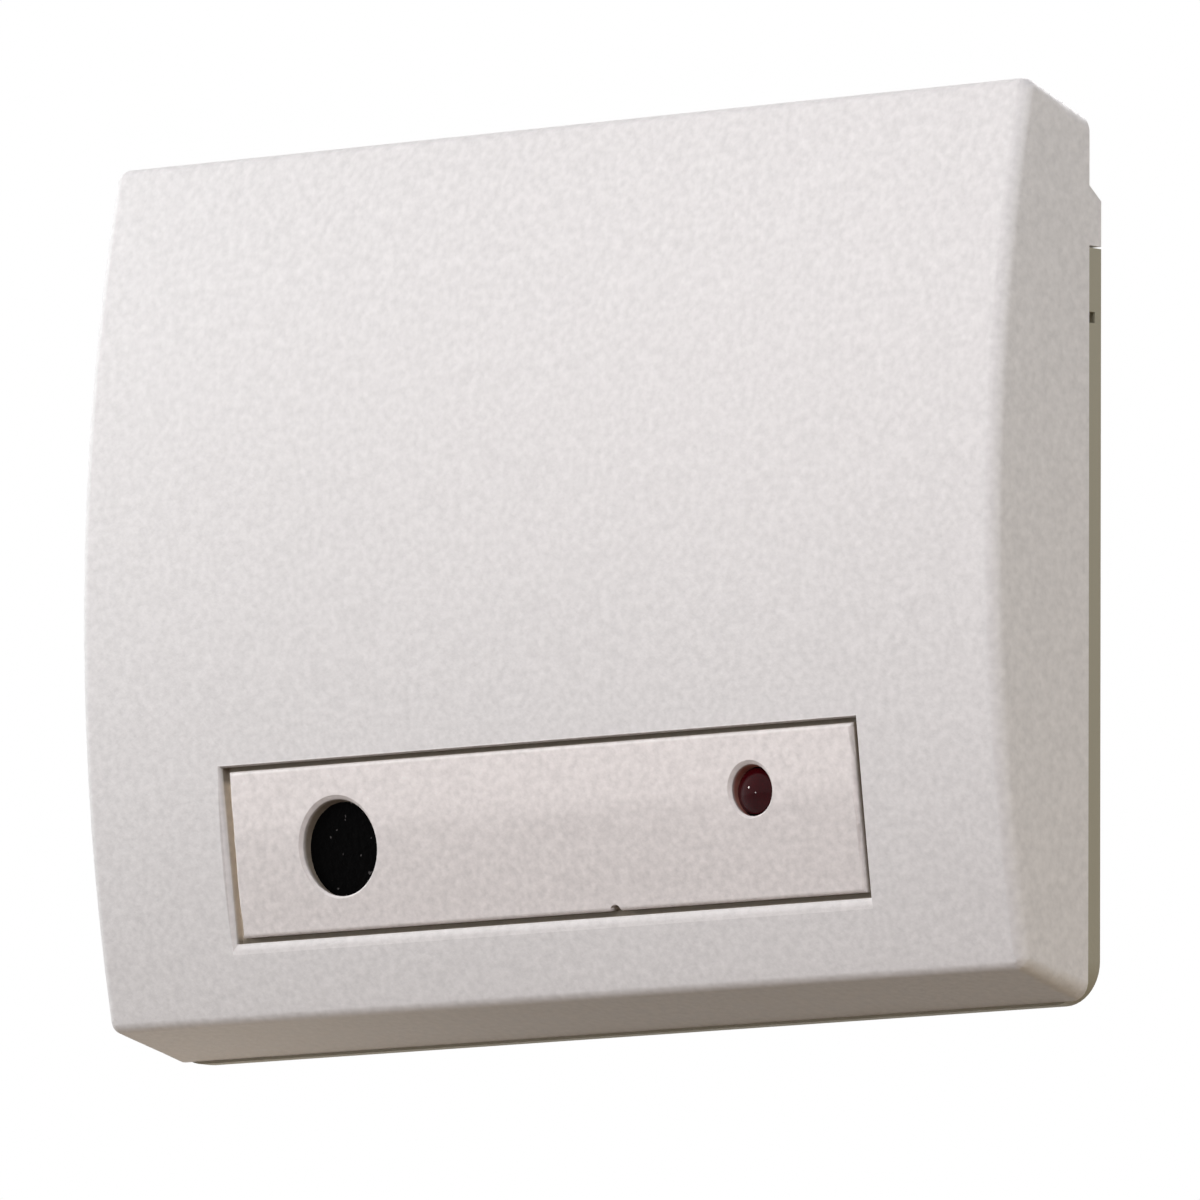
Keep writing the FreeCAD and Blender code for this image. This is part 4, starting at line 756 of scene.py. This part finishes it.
def part_middle(part):
    """The middle of a vertex, edge or face."""
    if isinstance(part, bmesh.types.BMVert):
        return part.co
    return sum((v.co for v in part.verts), Vector()) / len(part.verts)


# Radius and straight edge in millimetres from the can's axis, and thickness in metres
MARK_RADIUS, MARK_EDGE, MARK_THICK = 2.85, 1.3, 0.04 * MM


def capacitor_tops():
    """The printed polarity segment on each can's top, cut off MARK_EDGE from the can's axis."""
    top = Vector(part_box("filter_capacitors")[0]).y
    marks = bmesh.new()
    for x, z in CAPACITORS:
        bmesh.ops.create_cone(
            marks, cap_ends=True, segments=48, radius1=MARK_RADIUS * MM,
            radius2=MARK_RADIUS * MM, depth=MARK_THICK,
            matrix=Matrix.Translation((x * MM, top - 0.01 * MM, z * MM))
            @ Matrix.Rotation(math.radians(90), 4, "X"))
        parts = list(marks.faces) + list(marks.edges) + list(marks.verts)
        near = [part for part in parts if abs(part_middle(part).x - x * MM) < 4 * MM]
        bmesh.ops.bisect_plane(marks, geom=near, plane_co=((x - MARK_EDGE) * MM, 0, 0), plane_no=(1, 0, 0),
                               clear_outer=True)
    bmesh.ops.holes_fill(marks, edges=[edge for edge in marks.edges if edge.is_boundary])
    piece_of("capacitor_marks", marks, CHIP, "housing")


SLOT_TURNS, JOINT_SIZES = random.Random(4), random.Random(9)
clamp_screws()
board_fasteners()
solder_joints()
board_artwork()
capacitor_tops()


# Floor, lamps and camera
FLOOR_Z, FLOOR_RADIUS, FLOOR_GLOW = -0.30, 6.0, 0.6


def floor_finish():
    """Pale where it is looked at or mirrored, darker to bounced light, and clear from beneath."""
    made, tree, shader = material("FloorPale")
    where = add(tree, "ShaderNodeTexCoord", (-900, 0)).outputs["Object"]
    cloud = noise_of(tree, (-700, 0), where, 3.0, 2.0)
    pale = mix_colour(tree, (-450, 100), cloud, (0.92, 0.92, 0.92, 1), (0.96, 0.96, 0.96, 1))
    tree.links.new(pale, shader.inputs["Base Color"])
    shader.inputs["Roughness"].default_value = 0.8
    glow = add(tree, "ShaderNodeEmission", (0, 100))
    tree.links.new(pale, glow.inputs["Color"])
    shade = add(tree, "ShaderNodeBsdfDiffuse", (0, -300))
    shade.inputs["Color"].default_value = (0.045, 0.036, 0.018, 1)
    path = add(tree, "ShaderNodeLightPath", (0, 300))
    looked_at = maths(tree, (200, 300), "MAXIMUM", path.outputs["Is Camera Ray"], maths(
        tree, (100, 200), "MAXIMUM", path.outputs["Is Glossy Ray"], path.outputs["Is Transmission Ray"]))
    backdrop_shader = add(tree, "ShaderNodeMixShader", (200, 0))
    backdrop_shader.inputs[0].default_value = FLOOR_GLOW
    tree.links.new(shader.outputs[0], backdrop_shader.inputs[1])
    tree.links.new(glow.outputs[0], backdrop_shader.inputs[2])
    mixed = add(tree, "ShaderNodeMixShader", (400, 0))
    tree.links.new(looked_at, mixed.inputs[0])
    tree.links.new(shade.outputs[0], mixed.inputs[1])
    tree.links.new(backdrop_shader.outputs[0], mixed.inputs[2])
    side = add(tree, "ShaderNodeNewGeometry", (400, 300))
    clear = add(tree, "ShaderNodeBsdfTransparent", (400, -200))
    from_beneath = add(tree, "ShaderNodeMixShader", (600, 0))
    tree.links.new(side.outputs["Backfacing"], from_beneath.inputs[0])
    tree.links.new(mixed.outputs[0], from_beneath.inputs[1])
    tree.links.new(clear.outputs[0], from_beneath.inputs[2])
    tree.links.new(from_beneath.outputs[0], tree.nodes["Material Output"].inputs["Surface"])
    return made


ground = bmesh.new()
bmesh.ops.create_circle(ground, cap_ends=True, segments=96, radius=FLOOR_RADIUS,
                        matrix=Matrix.Translation((0, 0, FLOOR_Z)))
ground_data = bpy.data.meshes.new("floor")
ground.to_mesh(ground_data)
ground.free()
ground_data.materials.append(floor_finish())
floor = bpy.data.objects.new("floor", ground_data)
bpy.context.scene.collection.objects.link(floor)

# World: white where it is looked at or mirrored, dimmer and warmer to bounced light
world = bpy.data.worlds.new("Studio")
world.use_nodes = True
bpy.context.scene.world = world
sky = world.node_tree
backdrop = sky.nodes["Background"]
backdrop.inputs["Color"].default_value = (1, 1, 1, 1)
backdrop.inputs["Strength"].default_value = 1.0
ambient = add(sky, "ShaderNodeBackground", (0, -200))
ambient.inputs["Color"].default_value = (1.0, 0.90, 0.89, 1)
ambient.inputs["Strength"].default_value = 0.24
rays = add(sky, "ShaderNodeLightPath", (-400, 200))
seen = maths(sky, (-200, 200), "MAXIMUM", rays.outputs["Is Camera Ray"], maths(
    sky, (-300, 100), "MAXIMUM", rays.outputs["Is Glossy Ray"], rays.outputs["Is Transmission Ray"]))
choice = add(sky, "ShaderNodeMixShader", (250, 0))
sky.links.new(seen, choice.inputs[0])
sky.links.new(ambient.outputs[0], choice.inputs[1])
sky.links.new(backdrop.outputs[0], choice.inputs[2])
sky.links.new(choice.outputs[0], sky.nodes["World Output"].inputs["Surface"])


def softbox(name, azimuth, elevation, distance, size, watts, colour=(1, 1, 1), mirrored=True):
    """A square soft light that faces the sensor, at an azimuth right of its front and an elevation.

    Angles are in degrees, distance and size in metres. A light that isn't mirrored leaves no glint.
    """
    a, e = math.radians(azimuth), math.radians(elevation)
    way = Vector((math.sin(a) * math.cos(e), -math.cos(a) * math.cos(e), math.sin(e)))
    data = bpy.data.lights.new(name, "AREA")
    data.energy = watts
    data.size = size
    data.color = colour
    lamp_object = bpy.data.objects.new(name, data)
    facing = way.to_track_quat("Z", "Y").to_matrix().to_4x4()
    lamp_object.matrix_world = Matrix.Translation(way * distance) @ facing
    lamp_object.visible_camera = False
    lamp_object.visible_glossy = mirrored
    bpy.context.scene.collection.objects.link(lamp_object)


# Name, azimuth, elevation, distance, size, watts, colour, and whether it is mirrored
softbox("key_left", -69.6, 17.6, 0.22, 0.132, 0.220, (0.91, 0.975, 1.0), False)
softbox("key_front", 17.9, 20.9, 0.22, 0.132, 0.222, (0.985, 0.985, 1.0), False)
softbox("side_high", 93.8, 18.5, 0.25, 0.15, 0.104, (0.86, 0.94, 1.0))
softbox("side_low", 99.9, -30.0, 0.40, 0.24, 0.31, (1.0, 0.83, 0.60))
softbox("foot", 10, -45, 0.36, 0.22, 0.040, (1.0, 0.50, 0.40))
softbox("bounce", -100, -48, 0.115, 0.04, 0.008, (1.0, 0.86, 0.70))
softbox("glint_high", -46.7, 11.7, 0.9, 0.078, 1.3, (1.0, 0.95, 0.90))
softbox("glint_low", -17.8, -2.4, 0.9, 0.055, 0.5)
softbox("back", 200, 30, 2.5, 1.5, 42.0)

# The photograph's camera: its focal length is in pixels of the 1200 pixel picture
AZIMUTH, ELEVATION, ROLL = (math.radians(v) for v in (40.525, -6.022, 0.226))
TARGET = Vector((-4.220, 0, -0.022)) * MM
DISTANCE = 2007.8 * MM
PICTURE_PIXELS, FOCAL_PIXELS, SENSOR_WIDTH = 1200, 22283, 36
back = Vector((math.sin(AZIMUTH) * math.cos(ELEVATION), -math.cos(AZIMUTH) * math.cos(ELEVATION),
               math.sin(ELEVATION)))
right = Vector((math.cos(AZIMUTH), math.sin(AZIMUTH), 0))
up = back.cross(right)
rolled_right = right * math.cos(ROLL) + up * math.sin(ROLL)
rolled_up = up * math.cos(ROLL) - right * math.sin(ROLL)
camera_data = bpy.data.cameras.new("Camera")
camera_data.sensor_width = SENSOR_WIDTH
camera_data.lens = SENSOR_WIDTH * FOCAL_PIXELS / PICTURE_PIXELS
camera_data.clip_end = 50
camera = bpy.data.objects.new("Camera", camera_data)
turn = Matrix((rolled_right, rolled_up, back)).transposed().to_4x4()
camera.matrix_world = Matrix.Translation(TARGET + back * DISTANCE) @ turn
bpy.context.scene.collection.objects.link(camera)
bpy.context.scene.camera = camera
bpy.context.scene.view_settings.view_transform = "Standard"

bpy.context.view_layer.update()
